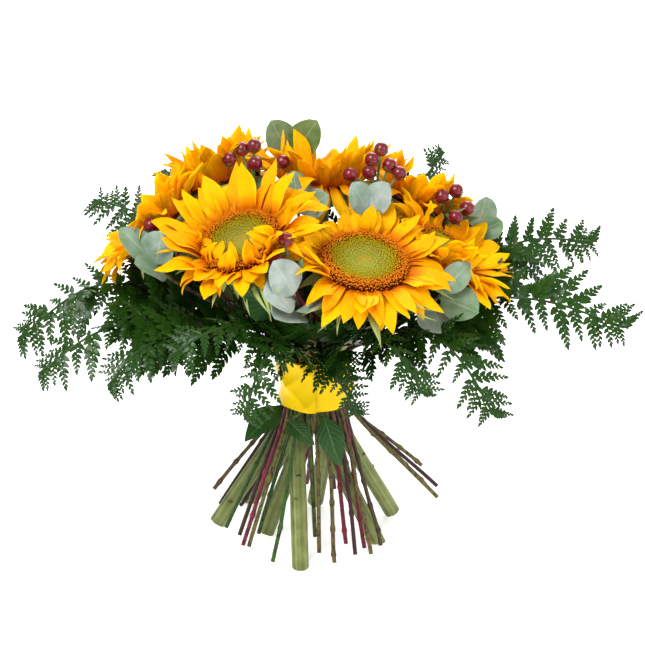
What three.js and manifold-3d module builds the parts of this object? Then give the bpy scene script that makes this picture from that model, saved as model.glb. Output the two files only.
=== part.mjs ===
// A hand-tied bunch of seven sunflowers with fern, hypericum and eucalyptus. A satin ribbon holds it,
// and it stands on its own splayed stem ends.
// Millimetres. +Z is up, +X is to the right and +Y is away from someone who looks at its front.
import * as THREE from "three";
import { mergeVertices } from "three/addons/utils/BufferGeometryUtils.js";
import Module from "manifold-3d";

const wasm = await Module();
wasm.setup();

// ---- Driving dimensions ----

const GAP = 0.3; // left between pieces that touch on the real bunch

const WAIST_Z = 128; // the height of the tie
const RIBBON_HEIGHT = 38;
const RIBBON_THICK = 0.8;
const STEM_RADIUS = 6.2; // of a sunflower
const TWIG_RADIUS = 1.6; // of everything else
const STEM_RING = 14.5; // six sunflower stems stand round the seventh
const TWIG_RING = STEM_RING + STEM_RADIUS + TWIG_RADIUS + GAP;
const RIBBON_RADIUS = TWIG_RING + TWIG_RADIUS + 1.3; // inside
const FLARE = 0.4; // how much wider the bundle is at the ribbon's edges
const TWIST = 12; // degrees that the spiral turns from the tie to the ribbon's edge
const SLOTS = 32; // thin stems in the ring round the thick ones
const FIRST_SLOT = 8; // degrees

const PETALS = 20; // of a head: every second one is in the upper layer
const PETAL_WIDTH = 8; // half, at the widest
const PETAL_THICK = 1.2;
const BRACTS = 5;
const BRACT_LENGTH = 24;
const DISC_SIDES = 12;
const CALYX_SIDES = 8;
const DISC_HEIGHT = 7;
const RELIEF = 0.9; // how far the florets stand out of the disc
const CALYX_DEPTH = 19;

const PINNA_ANGLE = 60; // between a frond's rachis and its pinnae
const PINNA_THICK = 1.2;
const BERRY_RADIUS = 5.4;
const LEAF_THICK = 1.2;

const PETAL_YELLOW = 0xf9b200;
const DISC_GREEN = 0xa9a526;
const STEM_GREEN = 0x93a65c;
const FERN_GREEN = 0x1f4a26;
const BERRY_RED = 0x9c1c30;
const EUCALYPTUS_GREEN = 0x8ba394;
const LEAF_GREEN = 0x24461f;
const RIBBON_YELLOW = 0xfbd400;

// ---- The arrangement ----
// facing: the way a head looks, as an azimuth (0 is +X, 90 is +Y) and a tilt from straight up.
// short: towards this azimuth from its top, a head's petals are shorter by this share.
// slot: where the stem passes the tie. cut: "level" for a stem end cut flat on the table.

const SUNFLOWERS = [
  { name: "front_right", centre: [35, -67, 239], facing: [-73, 21], disc: 32.5, petal: 38,
    rise: 22, spread: 8, short: [20, 0.5], slot: 8, foot: [0, 48, 2.7] },
  { name: "front_left", centre: [-52, -62, 253], facing: [-125, 31], disc: 29.5, petal: 42,
    rise: 38, spread: 8, short: [205, 0.42], slot: -52, foot: [60, 28, 3.4] },
  { name: "back_middle", centre: [4, 43, 266], facing: [95, 8], disc: 28, petal: 43, rise: 46, spread: 14,
    slot: null, foot: [-38, -12, 3.5] },
  { name: "back_right", centre: [75, 50, 249], facing: [24, 27], disc: 26, petal: 35, rise: 38, spread: 12,
    slot: 129.5, foot: [-76, 7, 3.6] },
  { name: "low_right", centre: [94, -16, 230], facing: [-12, 39], disc: 26, petal: 36, rise: 36, spread: 4,
    slot: 66, foot: [-52, 56, 0], cut: "level" },
  { name: "far_left", centre: [-114, -2, 246], facing: [172, 45], disc: 27, petal: 35, rise: 42, spread: 6,
    slot: -112, foot: [47, -20, 0], cut: "level" },
  { name: "back_left", centre: [-68, 54, 262], facing: [131, 27], disc: 28, petal: 39, rise: 42, spread: 10,
    slot: 180, foot: [-11, -65, 0], cut: "level" },
];

// foot: the cut end. route: where the stem goes above the tie, out to the tip of the frond.
// face: the way the frond's upper side looks. longest: its longest pinna.
const FRONDS = {
  fern_right_up: { foot: [30, 50, 12], route: [[55, 12, 172], [110, 28, 204], [162, 45, 221], [216, 58, 216]],
    face: [-0.1, -0.75, 0.65], longest: 56 },
  fern_back_right: { foot: [-3, 66, 6],
    route: [[30, 50, 180], [60, 85, 225], [84, 103, 252], [101, 118, 270]],
    face: [0.3, -0.8, 0.5], longest: 44 },
  fern_behind_right: { foot: [-56, 32, 14],
    route: [[20, 52, 170], [40, 98, 186], [58, 138, 176], [70, 160, 152]],
    face: [0, 0.3, 0.95], longest: 58 },
  fern_behind_left: { foot: [-62, 16, 18],
    route: [[-22, 48, 170], [-50, 95, 185], [-75, 130, 175], [-92, 152, 152]],
    face: [0, 0.3, 0.95], longest: 58 },
  fern_back_left: { foot: [-58, -8, 15],
    route: [[-35, 45, 175], [-70, 80, 215], [-100, 100, 242], [-118, 112, 258]],
    face: [-0.3, -0.8, 0.5], longest: 46 },
  fern_far_left: { foot: [-68, -22, 12],
    route: [[-50, 28, 172], [-95, 55, 208], [-135, 82, 230], [-173, 100, 237]],
    face: [0, -0.75, 0.65], longest: 52 },
  fern_left_up: { foot: [-58, -30, 10],
    route: [[-60, 0, 175], [-110, -5, 198], [-165, -14, 204], [-220, -26, 168]],
    face: [0, -0.65, 0.75], longest: 64 },
  fern_left: { foot: [-50, -39, 4],
    route: [[-55, -18, 170], [-110, -35, 187], [-158, -54, 183], [-200, -72, 158]],
    face: [-0.1, -0.6, 0.8], longest: 62 },
  fern_left_low: { foot: [-38, -20, 8],
    route: [[-50, -34, 168], [-93, -62, 186], [-126, -84, 180], [-148, -97, 158]],
    face: [-0.1, -0.5, 0.85], longest: 52 },
  fern_front_left: { foot: [-31, -60, 2],
    route: [[-27, -47, 169], [-46, -80, 199], [-74, -104, 202], [-102, -116, 188]],
    face: [0, -0.6, 0.8], longest: 52 },
  fern_front_hanging: { foot: [4, -54, 6],
    route: [[-12, -50, 166], [-24, -84, 188], [-40, -108, 172], [-50, -112, 138]],
    face: [-0.1, -0.6, 0.8], longest: 46 },
  fern_over_ribbon: { foot: [31, -52, 4],
    route: [[4, -42, 164], [12, -60, 158], [22, -66, 142], [32, -66, 122]],
    face: [-0.1, -0.8, 0.55], longest: 32 },
  fern_front_right: { foot: [94, -10, 32],
    route: [[16, -48, 168], [38, -84, 194], [60, -110, 186], [78, -122, 160]],
    face: [0.1, -0.5, 0.87], longest: 54 },
  fern_right_low: { foot: [93, 5, 35],
    route: [[42, -32, 168], [78, -62, 190], [105, -90, 174], [129, -107, 138]],
    face: [0.2, -0.5, 0.85], longest: 60 },
  fern_right: { foot: [40, 40, 21], route: [[58, -4, 168], [105, -8, 190], [165, -20, 196], [231, -32, 178]],
    face: [0, -0.65, 0.75], longest: 68 },
};

// berries: the middle of each one. leaves: the tips of the few small leaves.
const HYPERICUM = {
  hypericum_middle: { foot: [-20, 64, 6], route: [[23, 14, 167], [34, 10, 195], [43, 5, 250], [44, 6, 278]],
    berries: [[26, -2, 287], [40, 4, 287], [42, 10, 295], [55, 12, 290], [49, 20, 300], [62, 8, 285]],
    leaves: [[30, 12, 270], [58, -4, 276]] },
  hypericum_right: { foot: [-16, 62, 10], route: [[52, 22, 180], [88, 27, 226], [99, 25, 246]],
    berries: [[94, 12, 266], [105, 20, 268], [113, 12, 257], [104, 2, 253], [92, 22, 256], [115, 24, 247]],
    leaves: [[112, -2, 262], [84, 6, 258], [124, 12, 250]] },
  hypericum_left: { foot: [-40, -45, 6],
    route: [[-30, 2, 170], [-38, 8, 196], [-46, 12, 250], [-48, 13, 276]],
    berries: [[-54, 24, 299], [-63, 17, 293], [-45, 22, 302], [-44, 10, 292], [-52, 6, 284], [-24, 14, 292]],
    leaves: [[-60, 4, 288], [-30, 24, 282]] },
  hypericum_far_left: { foot: [20, -25, 5], route: [[-56, -20, 190], [-94, -40, 228], [-104, -38, 250]],
    berries: [[-106, -43, 262], [-118, -43, 261], [-121, -54, 257], [-109, -55, 256]],
    leaves: [[-98, -46, 262]] },
  hypericum_front: { foot: [38, -42, 5], route: [[-2, -52, 188], [-12, -84, 222], [-18, -95, 244]],
    berries: [[-20, -92, 266], [-32, -98, 259], [-11, -99, 257]],
    leaves: [[-24, -106, 250], [-4, -92, 250]] },
};

// leaves: where on the twig it grows (1 is its end), its tip, the way it faces and half its width.
const EUCALYPTUS = {
  eucalyptus_right_back: { foot: [15, 62, 8], route: [[60, 34, 178], [112, 32, 222], [122, 30, 236]],
    leaves: [{ on: 1, tip: [128, 26, 262], face: [0.5, -0.7, 0.5], half: 13 },
      { on: 0.97, tip: [142, 40, 238], face: [0.3, -0.6, 0.7], half: 11 }] },
  eucalyptus_top: { foot: [-58, 24, 10], route: [[-18, 46, 184], [-28, 84, 232], [-18, 88, 276]],
    leaves: [{ on: 1, tip: [-34, 84, 305], face: [0.1, -0.8, 0.5], half: 13 },
      { on: 1, tip: [2, 80, 306], face: [0.1, -0.8, 0.6], half: 13 }] },
  eucalyptus_centre: { foot: [50, -44, 8], route: [[-4, -24, 176], [-12, -8, 230], [-12, -4, 260]],
    leaves: [{ on: 1, tip: [-16, 6, 288], face: [0.1, -0.7, 0.7], half: 11.5 },
      { on: 1, tip: [10, -10, 274], face: [-0.1, -0.8, 0.6], half: 11.5 }] },
  eucalyptus_left_back: { foot: [-76, -20, 44], route: [[-44, 30, 180], [-88, 78, 226], [-96, 84, 244]],
    leaves: [{ on: 1, tip: [-74, 92, 268], face: [0, -0.8, 0.6], half: 12 },
      { on: 1, tip: [-108, 70, 268], face: [-0.4, -0.6, 0.6], half: 9 },
      { on: 0.95, tip: [-126, 82, 246], face: [-0.4, -0.5, 0.7], half: 9 }] },
  eucalyptus_far_left: { foot: [14, -62, 2], route: [[-56, -34, 188], [-104, -58, 226], [-116, -60, 238]],
    leaves: [{ on: 1, tip: [-140, -52, 262], face: [0.5, -0.5, 0.7], half: 14 },
      { on: 1, tip: [-108, -66, 264], face: [-0.3, -0.8, 0.5], half: 14 },
      { on: 0.95, tip: [-128, -78, 244], face: [0, -0.5, 0.85], half: 13 }] },
  eucalyptus_front: { foot: [43, -50, 3], route: [[-2, -56, 186], [-10, -88, 212], [-14, -100, 228]],
    leaves: [{ on: 1, tip: [-29, -105, 255], face: [0, -0.7, 0.7], half: 13.5 },
      { on: 0.972, tip: [-36, -118, 235], face: [0.1, -0.7, 0.7], half: 14 },
      { on: 0.94, tip: [6, -114, 223], face: [0.2, -0.6, 0.75], half: 11 },
      { on: 0.9, tip: [-28, -119, 217], face: [0, -0.6, 0.8], half: 14.5 }] },
  eucalyptus_right: { foot: [80, 10, 25], route: [[44, -22, 176], [84, -50, 204], [92, -56, 214]],
    leaves: [{ on: 1, tip: [112, -52, 236], face: [0.1, -0.8, 0.6], half: 10 },
      { on: 0.98, tip: [118, -66, 202], face: [0.3, -0.7, 0.6], half: 15 },
      { on: 0.95, tip: [92, -76, 190], face: [0, -0.85, 0.5], half: 15 },
      { on: 0.9, tip: [74, -72, 204], face: [-0.2, -0.7, 0.7], half: 12 }] },
  eucalyptus_middle: { foot: [83, 30, 42],
    route: [[27, -12, 166], [27, -12, 195], [38, -14, 240], [40, -15, 262]],
    leaves: [{ on: 1, tip: [27, -18, 286], face: [0.3, -0.8, 0.5], half: 11 },
      { on: 1, tip: [54, -20, 286], face: [-0.3, -0.7, 0.6], half: 12 },
      { on: 0.93, tip: [46, -38, 266], face: [0.1, -0.6, 0.8], half: 10 }] },
};

// One leaf each, on a stalk through the tie. Three hang out under the ribbon, from the stalk's foot.
const BROAD_LEAVES = {
  broad_leaf_left: { hangs: true, foot: [-27, -12, 106], route: [],
    tip: [-53, -34, 88], face: [-0.3, -0.75, 0.55], half: 11 },
  broad_leaf_low: { foot: [0, -42, 14], route: [[-18, -35, 158], [-20, -50, 176], [-30, -78, 206]],
    tip: [-52, -102, 236], face: [-0.2, -0.8, 0.6], half: 13 },
  broad_leaf_middle: { hangs: true, foot: [-9, -29, 103], route: [],
    tip: [0, -43, 89], face: [0, -0.8, 0.6], half: 7 },
  broad_leaf_right: { hangs: true, foot: [10, -28, 106], route: [],
    tip: [19, -45, 72], face: [0.1, -0.9, 0.4], half: 10 },
};

// The thin stems' places in the ring round the tie, in order.
const RING_ORDER = [
  "fern_right", "eucalyptus_right", "eucalyptus_middle", "fern_right_up", "eucalyptus_right_back",
  "hypericum_right", "hypericum_middle", "fern_back_right", "fern_behind_right", "eucalyptus_top",
  "fern_behind_left", "fern_back_left", "eucalyptus_left_back", "fern_far_left", "fern_left_up",
  "broad_leaf_left", "hypericum_left", "fern_left", "fern_left_low", "fern_front_left",
  "broad_leaf_middle", "broad_leaf_low", "fern_front_hanging", "broad_leaf_right", "eucalyptus_far_left",
  "hypericum_far_left", "fern_over_ribbon", "eucalyptus_front", "hypericum_front", "eucalyptus_centre",
  "fern_front_right", "fern_right_low",
];

// ---- Small helpers ----

const vector = (point) => new THREE.Vector3(...point);
const radians = THREE.MathUtils.degToRad;

function polar(azimuth, radius, z) {
  return new THREE.Vector3(radius * Math.cos(radians(azimuth)), radius * Math.sin(radians(azimuth)), z);
}

function facing([azimuth, tilt]) {
  return polar(azimuth, Math.sin(radians(tilt)), Math.cos(radians(tilt)));
}

/** The part of a direction that is square to another one, at length 1. */
function square(direction, to) {
  return direction.clone().addScaledVector(to, -direction.dot(to) / to.lengthSq()).normalize();
}

// ---- Solids ----

function solidOf(points, faces) {
  const vertProperties = new Float32Array(points.flatMap((p) => [p.x, p.y, p.z]));
  const triVerts = new Uint32Array(faces.flat());
  return new wasm.Manifold(new wasm.Mesh({ numProp: 3, vertProperties, triVerts }));
}

function solidFrom(geometry) {
  geometry.deleteAttribute("normal");
  geometry.deleteAttribute("uv");
  const merged = mergeVertices(geometry, 1e-3);
  return new wasm.Manifold(new wasm.Mesh({
    numProp: 3,
    vertProperties: new Float32Array(merged.attributes.position.array),
    triVerts: new Uint32Array(merged.index.array),
  }));
}

/** A curve that is cut at chosen shares of its control points, not at even steps. */
class Stations extends THREE.Curve {
  constructor(curve, shares) {
    super();
    this.curve = curve;
    this.shares = shares;
  }
  at(step) {
    return this.shares[Math.round(step * (this.shares.length - 1))];
  }
  getPointAt(step) {
    return this.curve.getPoint(this.at(step));
  }
  getTangentAt(step) {
    return this.curve.getTangent(this.at(step));
  }
}

/** Stations at each control point of a curve, and halfway along the spans that are given. */
function stationsOf(curve, halved) {
  const spans = curve.points.length - 1;
  const shares = curve.points.map((_, i) => i / spans);
  for (const span of halved) shares.push((span + 0.5) / spans);
  return new Stations(curve, shares.sort((a, b) => a - b));
}

/** A stem along a curve, which may grow thinner to its tip. */
function stem(curve, sides, radius, tipRadius = radius) {
  const steps = curve.shares.length - 1;
  const section = new THREE.Shape();
  for (let i = 0; i < sides; i++) {
    const corner = polar((360 * i) / sides, radius, 0);
    if (i === 0) section.moveTo(corner.x, corner.y);
    else section.lineTo(corner.x, corner.y);
  }
  const geometry = new THREE.ExtrudeGeometry(section, { steps, extrudePath: curve, bevelEnabled: false });
  const middles = curve.getSpacedPoints(steps);
  const corner = new THREE.Vector3();
  const { position } = geometry.attributes;
  for (let i = 0; i < position.count; i++) {
    corner.fromBufferAttribute(position, i);
    const distances = middles.map((middle) => middle.distanceTo(corner));
    const nearest = distances.indexOf(Math.min(...distances));
    const scale = THREE.MathUtils.lerp(1, tipRadius / radius, nearest / steps);
    corner.sub(middles[nearest]).multiplyScalar(scale).add(middles[nearest]);
    position.setXYZ(i, corner.x, corner.y, corner.z);
  }
  return solidFrom(geometry);
}

/** Gives the point of a blade at a share of its length, so far to the left and raised from the rib. */
function placer({ root, along, up, length, lift = 0, bend = 0 }) {
  const start = radians(lift);
  const turn = radians(bend) || 1e-6;
  const left = new THREE.Vector3().crossVectors(up, along);
  return (share, side, raise) => {
    const heading = start + turn * share;
    const forward = ((Math.sin(heading) - Math.sin(start)) * length) / turn;
    const rise = ((Math.cos(start) - Math.cos(heading)) * length) / turn;
    return root.clone()
      .addScaledVector(along, forward - Math.sin(heading) * raise)
      .addScaledVector(up, rise + Math.cos(heading) * raise)
      .addScaledVector(left, side);
  };
}

/** The same blade, thicker, longer and wider by a margin all round. */
function fatter(shape, margin) {
  return {
    ...shape,
    length: shape.length + margin,
    half: shape.half + margin,
    thick: shape.thick + 2 * margin,
  };
}

/**
 * A leaf or petal: two skins that meet in a sharp edge, and stand apart along the rib.
 * The rib leaves root at lift degrees from along towards up, and turns by bend degrees on its way.
 * outline lists [share of the length, share of half] down one side, and both sides are alike.
 * ribs lists the shares of the length where the rib has a point. cup raises the edges.
 */
function blade(shape) {
  const { half, outline, ribs, thick, cup = 0 } = shape;
  const place = placer(shape);
  const points = [place(0, 0, 0), place(1, 0, 0)];
  const add = (...where) => points.push(place(...where)) - 1;
  const upper = ribs.map((share) => add(share, 0, thick / 2));
  const under = ribs.map((share) => add(share, 0, -thick / 2));
  const faces = [];
  for (const sign of [1, -1]) {
    const edge = outline.map(([share, width]) => add(share, sign * half * width, cup * width * half));
    for (const [rib, face] of [[upper, 1], [under, -1]]) {
      const put = (a, b, c) => faces.push(sign * face > 0 ? [a, b, c] : [a, c, b]);
      put(0, rib[0], edge[0]);
      let i = 0;
      let j = 0;
      while (i < rib.length - 1 || j < edge.length - 1) {
        const edgeFirst = i === rib.length - 1 || (j < edge.length - 1 && outline[j + 1][0] <= ribs[i + 1]);
        if (edgeFirst) put(rib[i], edge[j + 1], edge[j++]);
        else put(rib[i], rib[i + 1], edge[j], i++);
      }
      put(rib[i], 1, edge[j]);
    }
  }
  return solidOf(points, faces);
}

const PETAL_OUTLINE = [[0.12, 0.45], [0.5, 1], [0.84, 0.62]];
const PETAL_ROOM = [[0.04, 0.72], [0.5, 1.02], [0.84, 0.64]]; // what it may take up, with its root
const PETAL_RIBS = [0.2, 0.62];
const BRACT_OUTLINE = [[0.1, 0.8], [0.45, 1]];
const BRACT_RIBS = [0.3];
const ROUND_OUTLINE = [[0.1, 0.12], [0.26, 0.72], [0.5, 1], [0.76, 0.86], [0.93, 0.46]];
const ROUND_RIBS = [0.3, 0.7];
const LEAF_OUTLINE = [[0.08, 0.3], [0.32, 0.95], [0.6, 0.85], [0.84, 0.4]];
const LEAF_RIBS = [0.25, 0.6];

/** The cut edge of a pinna: teeth that lean forward, with notches close to the rib. */
function pinnaOutline(teeth) {
  const outline = [];
  for (let i = 0; i < teeth; i++) {
    const notch = 0.05 + (0.86 * i) / teeth;
    const width = 1 - 0.78 * (i / teeth);
    outline.push([notch, 0.36 * width], [notch + 0.5 / teeth, width]);
  }
  return outline;
}

// ---- Placing pieces clear of each other ----

const placed = []; // the solids that make up the nodes, with the node's name and their boxes
const nodes = new Map(); // name to its solids and its colour

function boxesMeet(a, b) {
  return [0, 1, 2].every((k) => a.min[k] < b.max[k] && b.min[k] < a.max[k]);
}

function isClear(solid, node) {
  const box = solid.boundingBox();
  return placed.every((other) =>
    other.node === node || !boxesMeet(box, other.box) || !meets(solid, other.solid));
}

function meets(a, b) {
  if (!boxesMeet(a.boundingBox(), b.boundingBox())) return false;
  const shared = a.intersect(b);
  const meeting = shared.volume() > 1e-6;
  shared.delete();
  return meeting;
}

function keep(node, solid) {
  placed.push({ node, solid, box: solid.boundingBox() });
  nodes.get(node).solids.push(solid);
}

/** Keeps the first variant whose solid, made fatter by the gap all round, is clear of other nodes. */
function keepFirstClear(node, variants, make) {
  for (const variant of variants) {
    const fat = make(variant, GAP);
    const clear = isClear(fat, node);
    fat.delete();
    if (clear) {
      keep(node, make(variant, 0));
      return variant;
    }
  }
  return null;
}

function startNode(name, colour, roughness, metalness = 0) {
  const material = new THREE.MeshStandardMaterial({ color: colour, roughness, metalness });
  nodes.set(name, { solids: [], material });
}

// ---- Stems through the tie ----

/** A point of the spiral bundle, where a stem passes the tie or an edge of the ribbon. */
function bundlePoint(slot, radius, edge) {
  return polar(slot - TWIST * edge, radius + FLARE * Math.abs(edge), WAIST_Z + (edge * RIBBON_HEIGHT) / 2);
}

function bundlePoints(slot, radius) {
  return [-1, 0, 1].map((edge) => bundlePoint(slot, radius, edge));
}

/** Turns a point about the bunch's axis. */
function turned(point, degrees) {
  return point.clone().applyAxisAngle(new THREE.Vector3(0, 0, 1), radians(degrees));
}

const curveThrough = (points) => new THREE.CatmullRomCurve3(points, false, "centripetal");

/** The curve of a thin stem. The variant turns its foot and the first point above the tie. */
function twigCurve(name, { foot, route }, { reach, footTurn, shoulderTurn }) {
  const slot = FIRST_SLOT + (360 / SLOTS) * RING_ORDER.indexOf(name);
  return curveThrough([
    turned(vector(foot), footTurn).multiply(new THREE.Vector3(reach, reach, 1)),
    ...bundlePoints(slot, TWIG_RING),
    ...route.map((point, i) => turned(vector(point), i ? 0 : shoulderTurn)),
  ]);
}

const FOOT_TURNS = [0, 6, -6, 12, -12, 20, -20, 30, -30, 42, -42, 55, -55];
const SHOULDER_TURNS = [0, 8, -8, 16, -16, 26, -26, 38, -38];
const REACHES = [1, 0.88, 1.14, 0.72, 1.3];
const TWIG_VARIANTS = REACHES
  .flatMap((reach) => FOOT_TURNS.map((footTurn) => ({ reach, footTurn })))
  .flatMap((foot) => SHOULDER_TURNS.map((shoulderTurn) => ({ ...foot, shoulderTurn })))
  .sort((a, b) => oddness(a) - oddness(b));

/** How far a variant is from the stem's own place, so that the nearest are tried first. */
function oddness({ reach, footTurn, shoulderTurn }) {
  return Math.hypot(footTurn, 1.5 * shoulderTurn, 60 * (reach - 1));
}

/** Adds a thin stem and gives its curve. */
function addTwig(name, spec, halved, tipRadius) {
  const build = (variant, margin) =>
    stem(stationsOf(twigCurve(name, spec, variant), halved), 4, TWIG_RADIUS + margin, tipRadius + margin);
  const variant = keepFirstClear(name, TWIG_VARIANTS, build);
  if (!variant) throw new Error(`${name} finds no clear way through the bunch`);
  return twigCurve(name, spec, variant);
}

// ---- Sunflowers ----

/** A head's own axes: out of its face, towards the top of the bunch, and across. */
function headAxes(flower) {
  const out = facing(flower.facing);
  const top = square(new THREE.Vector3(0, 0, 1), out);
  return { out, top, across: new THREE.Vector3().crossVectors(out, top), centre: vector(flower.centre) };
}

/** Moves a solid made round the Z axis at the origin to a head's place. */
function onHead(solid, { out, top, across, centre }) {
  const matrix = new THREE.Matrix4().makeBasis(top, across, out).setPosition(centre);
  return solid.transform(matrix.toArray());
}

function sunflowerCurve(flower) {
  const { out, centre } = headAxes(flower);
  const foot = vector(flower.foot);
  const tie = flower.slot === null
    ? [-1, 0, 1].map((edge) => new THREE.Vector3(0, -0.75 * (1 + edge), WAIST_Z + (edge * RIBBON_HEIGHT) / 2))
    : bundlePoints(flower.slot, STEM_RING);
  if (flower.cut) foot.addScaledVector(foot.clone().sub(tie[0]).normalize(), 2 * STEM_RADIUS);
  return curveThrough([
    foot,
    ...tie,
    centre.clone().addScaledVector(out, -CALYX_DEPTH - 34).lerp(tie[2], 0.12),
    centre.clone().addScaledVector(out, -CALYX_DEPTH + 4),
  ]);
}

/** A level cut through a stem end, at the height of the table. */
function cutLevel(solid) {
  const block = new THREE.BoxGeometry(400, 400, 60);
  block.translate(0, 0, -30);
  return solid.subtract(solidFrom(block));
}

function addSunflowerStem(flower) {
  const name = `sunflower_${flower.name}_stem`;
  startNode(name, STEM_GREEN, 0.6);
  const axes = headAxes(flower);
  const shaft = stem(stationsOf(sunflowerCurve(flower), [0, 3, 4]), 6, STEM_RADIUS);
  keep(name, flower.cut ? cutLevel(shaft) : shaft);
  const rim = flower.disc + 2;
  const profile = [[0, -CALYX_DEPTH], [8, -CALYX_DEPTH + 2], [0.86 * rim, -8], [rim, -1.7], [0, -1.7]]
    .map(([x, y]) => new THREE.Vector2(x, y));
  const calyx = new THREE.LatheGeometry(profile, CALYX_SIDES);
  calyx.rotateX(Math.PI / 2);
  keep(name, onHead(solidFrom(calyx), axes));
}

/** The disc of florets: a shallow dome of bumps that turn in spirals, with a dip in the middle. */
function addDisc(flower) {
  const name = `sunflower_${flower.name}_disc`;
  startNode(name, DISC_GREEN, 0.8);
  const rings = [0.22, 0.46, 0.7, 0.9, 1];
  const points = [new THREE.Vector3(0, 0, DISC_HEIGHT - 1.6)];
  rings.forEach((share, ring) => {
    const dome = share < 1 ? DISC_HEIGHT - 1.6 + 2.2 * Math.sin(Math.PI * share) * share : 1.5;
    for (let i = 0; i < DISC_SIDES; i++) {
      const bump = share < 1 ? RELIEF * ((i + ring) % 2 ? -1 : 1) : 0;
      points.push(polar((360 * (i + ring / 2)) / DISC_SIDES, share * flower.disc, dome + bump));
    }
  });
  const foot = points.length;
  for (let i = 0; i < DISC_SIDES; i++) {
    points.push(polar((360 * (i + (rings.length - 1) / 2)) / DISC_SIDES, 0.94 * flower.disc, -1));
  }
  points.push(new THREE.Vector3(0, 0, -1));
  const faces = [];
  for (let i = 0; i < DISC_SIDES; i++) {
    const next = (i + 1) % DISC_SIDES;
    faces.push([0, 1 + i, 1 + next]);
    for (let ring = 0; ring < rings.length; ring++) {
      const inner = 1 + ring * DISC_SIDES;
      const outer = inner + DISC_SIDES;
      faces.push([inner + i, outer + i, inner + next]);
      faces.push([inner + next, outer + i, outer + next]);
    }
    faces.push([foot + i, points.length - 1, foot + next]);
  }
  keep(name, onHead(solidOf(points, faces), headAxes(flower)));
}

const PETAL_BENDS = [0, 7, -7, 14, -14, 22, -22, 31, -31, 41, -41, 52, -52, 64, 76, 88];
const PETAL_VARIANTS = [1, 0.86, 0.7, 0.5, 0.32].flatMap((scale) =>
  PETAL_BENDS.map((bent) => ({ scale, bent })));
const STUB = { scale: 0.2, bent: 40 };

/** The share of its full length that a petal of a head has towards an azimuth. */
function petalShare({ short: [towards, share] = [0, 0] }, azimuth) {
  return 1 - share * Math.max(0, Math.cos(azimuth - radians(towards))) ** 2;
}

/** Where a petal stands and how it is bent, for blade(). Those of the upper layer rise higher. */
function petalShape(flower, { out, top, across, centre }, index, { scale, bent }) {
  const upper = index % 2;
  const azimuth = radians((360 * index) / PETALS);
  const along = top.clone().multiplyScalar(Math.cos(azimuth)).addScaledVector(across, Math.sin(azimuth));
  return {
    root: centre.clone().addScaledVector(along, flower.disc + 2).addScaledVector(out, 0.3),
    along,
    up: out,
    length: flower.petal * petalShare(flower, azimuth) * scale * (upper ? 0.9 : 1),
    lift: flower.rise + (upper ? 10 : -12) + flower.spread * Math.cos(azimuth) + bent,
    bend: -26,
    half: PETAL_WIDTH,
    outline: PETAL_OUTLINE,
    ribs: PETAL_RIBS,
    thick: PETAL_THICK,
    cup: 0.12,
  };
}

/** The ring of petals as one closed skin: a collar round the disc that each petal grows from. */
function corona(flower, axes, shapes) {
  const { out, top, across, centre } = axes;
  const inner = (flower.disc + 0.5) / Math.cos(Math.PI / PETALS);
  const collar = (index, radius, height) => {
    const azimuth = radians((360 * (index + 0.5)) / PETALS);
    return centre.clone()
      .addScaledVector(top, radius * Math.cos(azimuth))
      .addScaledVector(across, radius * Math.sin(azimuth))
      .addScaledVector(out, height);
  };
  const points = [];
  const faces = [];
  const put = (...corners) => faces.push(corners);
  for (let i = 0; i < PETALS; i++) {
    points.push(collar(i, inner, 1.9), collar(i, inner, -0.9), collar(i, inner + 3, 0.4));
  }
  shapes.forEach((shape, i) => {
    const before = 3 * ((i + PETALS - 1) % PETALS);
    const after = 3 * i;
    const place = placer(shape);
    const first = points.length;
    for (const share of shape.ribs) {
      points.push(place(share, 0, shape.thick / 2), place(share, 0, -shape.thick / 2));
    }
    for (const [share, width] of shape.outline.slice(1)) {
      points.push(place(share, -width * shape.half, shape.cup * width * shape.half));
      points.push(place(share, width * shape.half, shape.cup * width * shape.half));
    }
    points.push(place(1, 0, 0));
    const [nearTop, nearUnder, farTop, farUnder, rightNear, leftNear, rightFar, leftFar, tip] =
      Array.from({ length: 9 }, (_, k) => first + k);
    put(before, after, after + 1);
    put(before, after + 1, before + 1);
    for (const [near, far, base, flip] of [[nearTop, farTop, 0, false], [nearUnder, farUnder, 1, true]]) {
      const side = (start, outer, close, distant, turn) => {
        const add = (a, b, c) => (turn !== flip ? put(a, b, c) : put(a, c, b));
        add(near, start + base, outer);
        add(near, outer, close);
        add(near, close, far);
        add(far, close, distant);
        add(far, distant, tip);
      };
      side(before, before + 2, rightNear, rightFar, true);
      side(after, after + 2, leftNear, leftFar, false);
      if (flip) put(near, before + base, after + base);
      else put(near, after + base, before + base);
    }
  });
  return solidOf(points, faces);
}

/** Keeps the place of a head's collar free, so that the petals of the other heads stay off it. */
function reserveCollar(flower) {
  const ring = new THREE.CylinderGeometry(flower.disc + 7, flower.disc + 4, 6, 20);
  ring.rotateX(Math.PI / 2).translate(0, 0, 1.8);
  const solid = onHead(solidFrom(ring), headAxes(flower));
  placed.push({ node: `sunflower_${flower.name}_petals`, solid, box: solid.boundingBox() });
}

/** The petals rise on the side of the bunch's top and droop on the other, each one clear of all else. */
function addPetals(flower) {
  const name = `sunflower_${flower.name}_petals`;
  const axes = headAxes(flower);
  startNode(name, PETAL_YELLOW, 0.5);
  const standing = [];
  const shapes = Array.from({ length: PETALS }, (_, i) => {
    const shape = (variant) => petalShape(flower, axes, i, variant);
    const chosen = PETAL_VARIANTS.find((variant) => {
      const fat = fatter(shape(variant), GAP);
      return isClear(blade({ ...fat, outline: PETAL_ROOM }), name)
        && standing.every((other) => !meets(blade(fat), other));
    }) ?? STUB;
    standing.push(blade({ ...shape(chosen), root: placer(shape(chosen))(0.14, 0, 0) }));
    return shape(chosen);
  });
  keep(name, corona(flower, axes, shapes));
}

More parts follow.
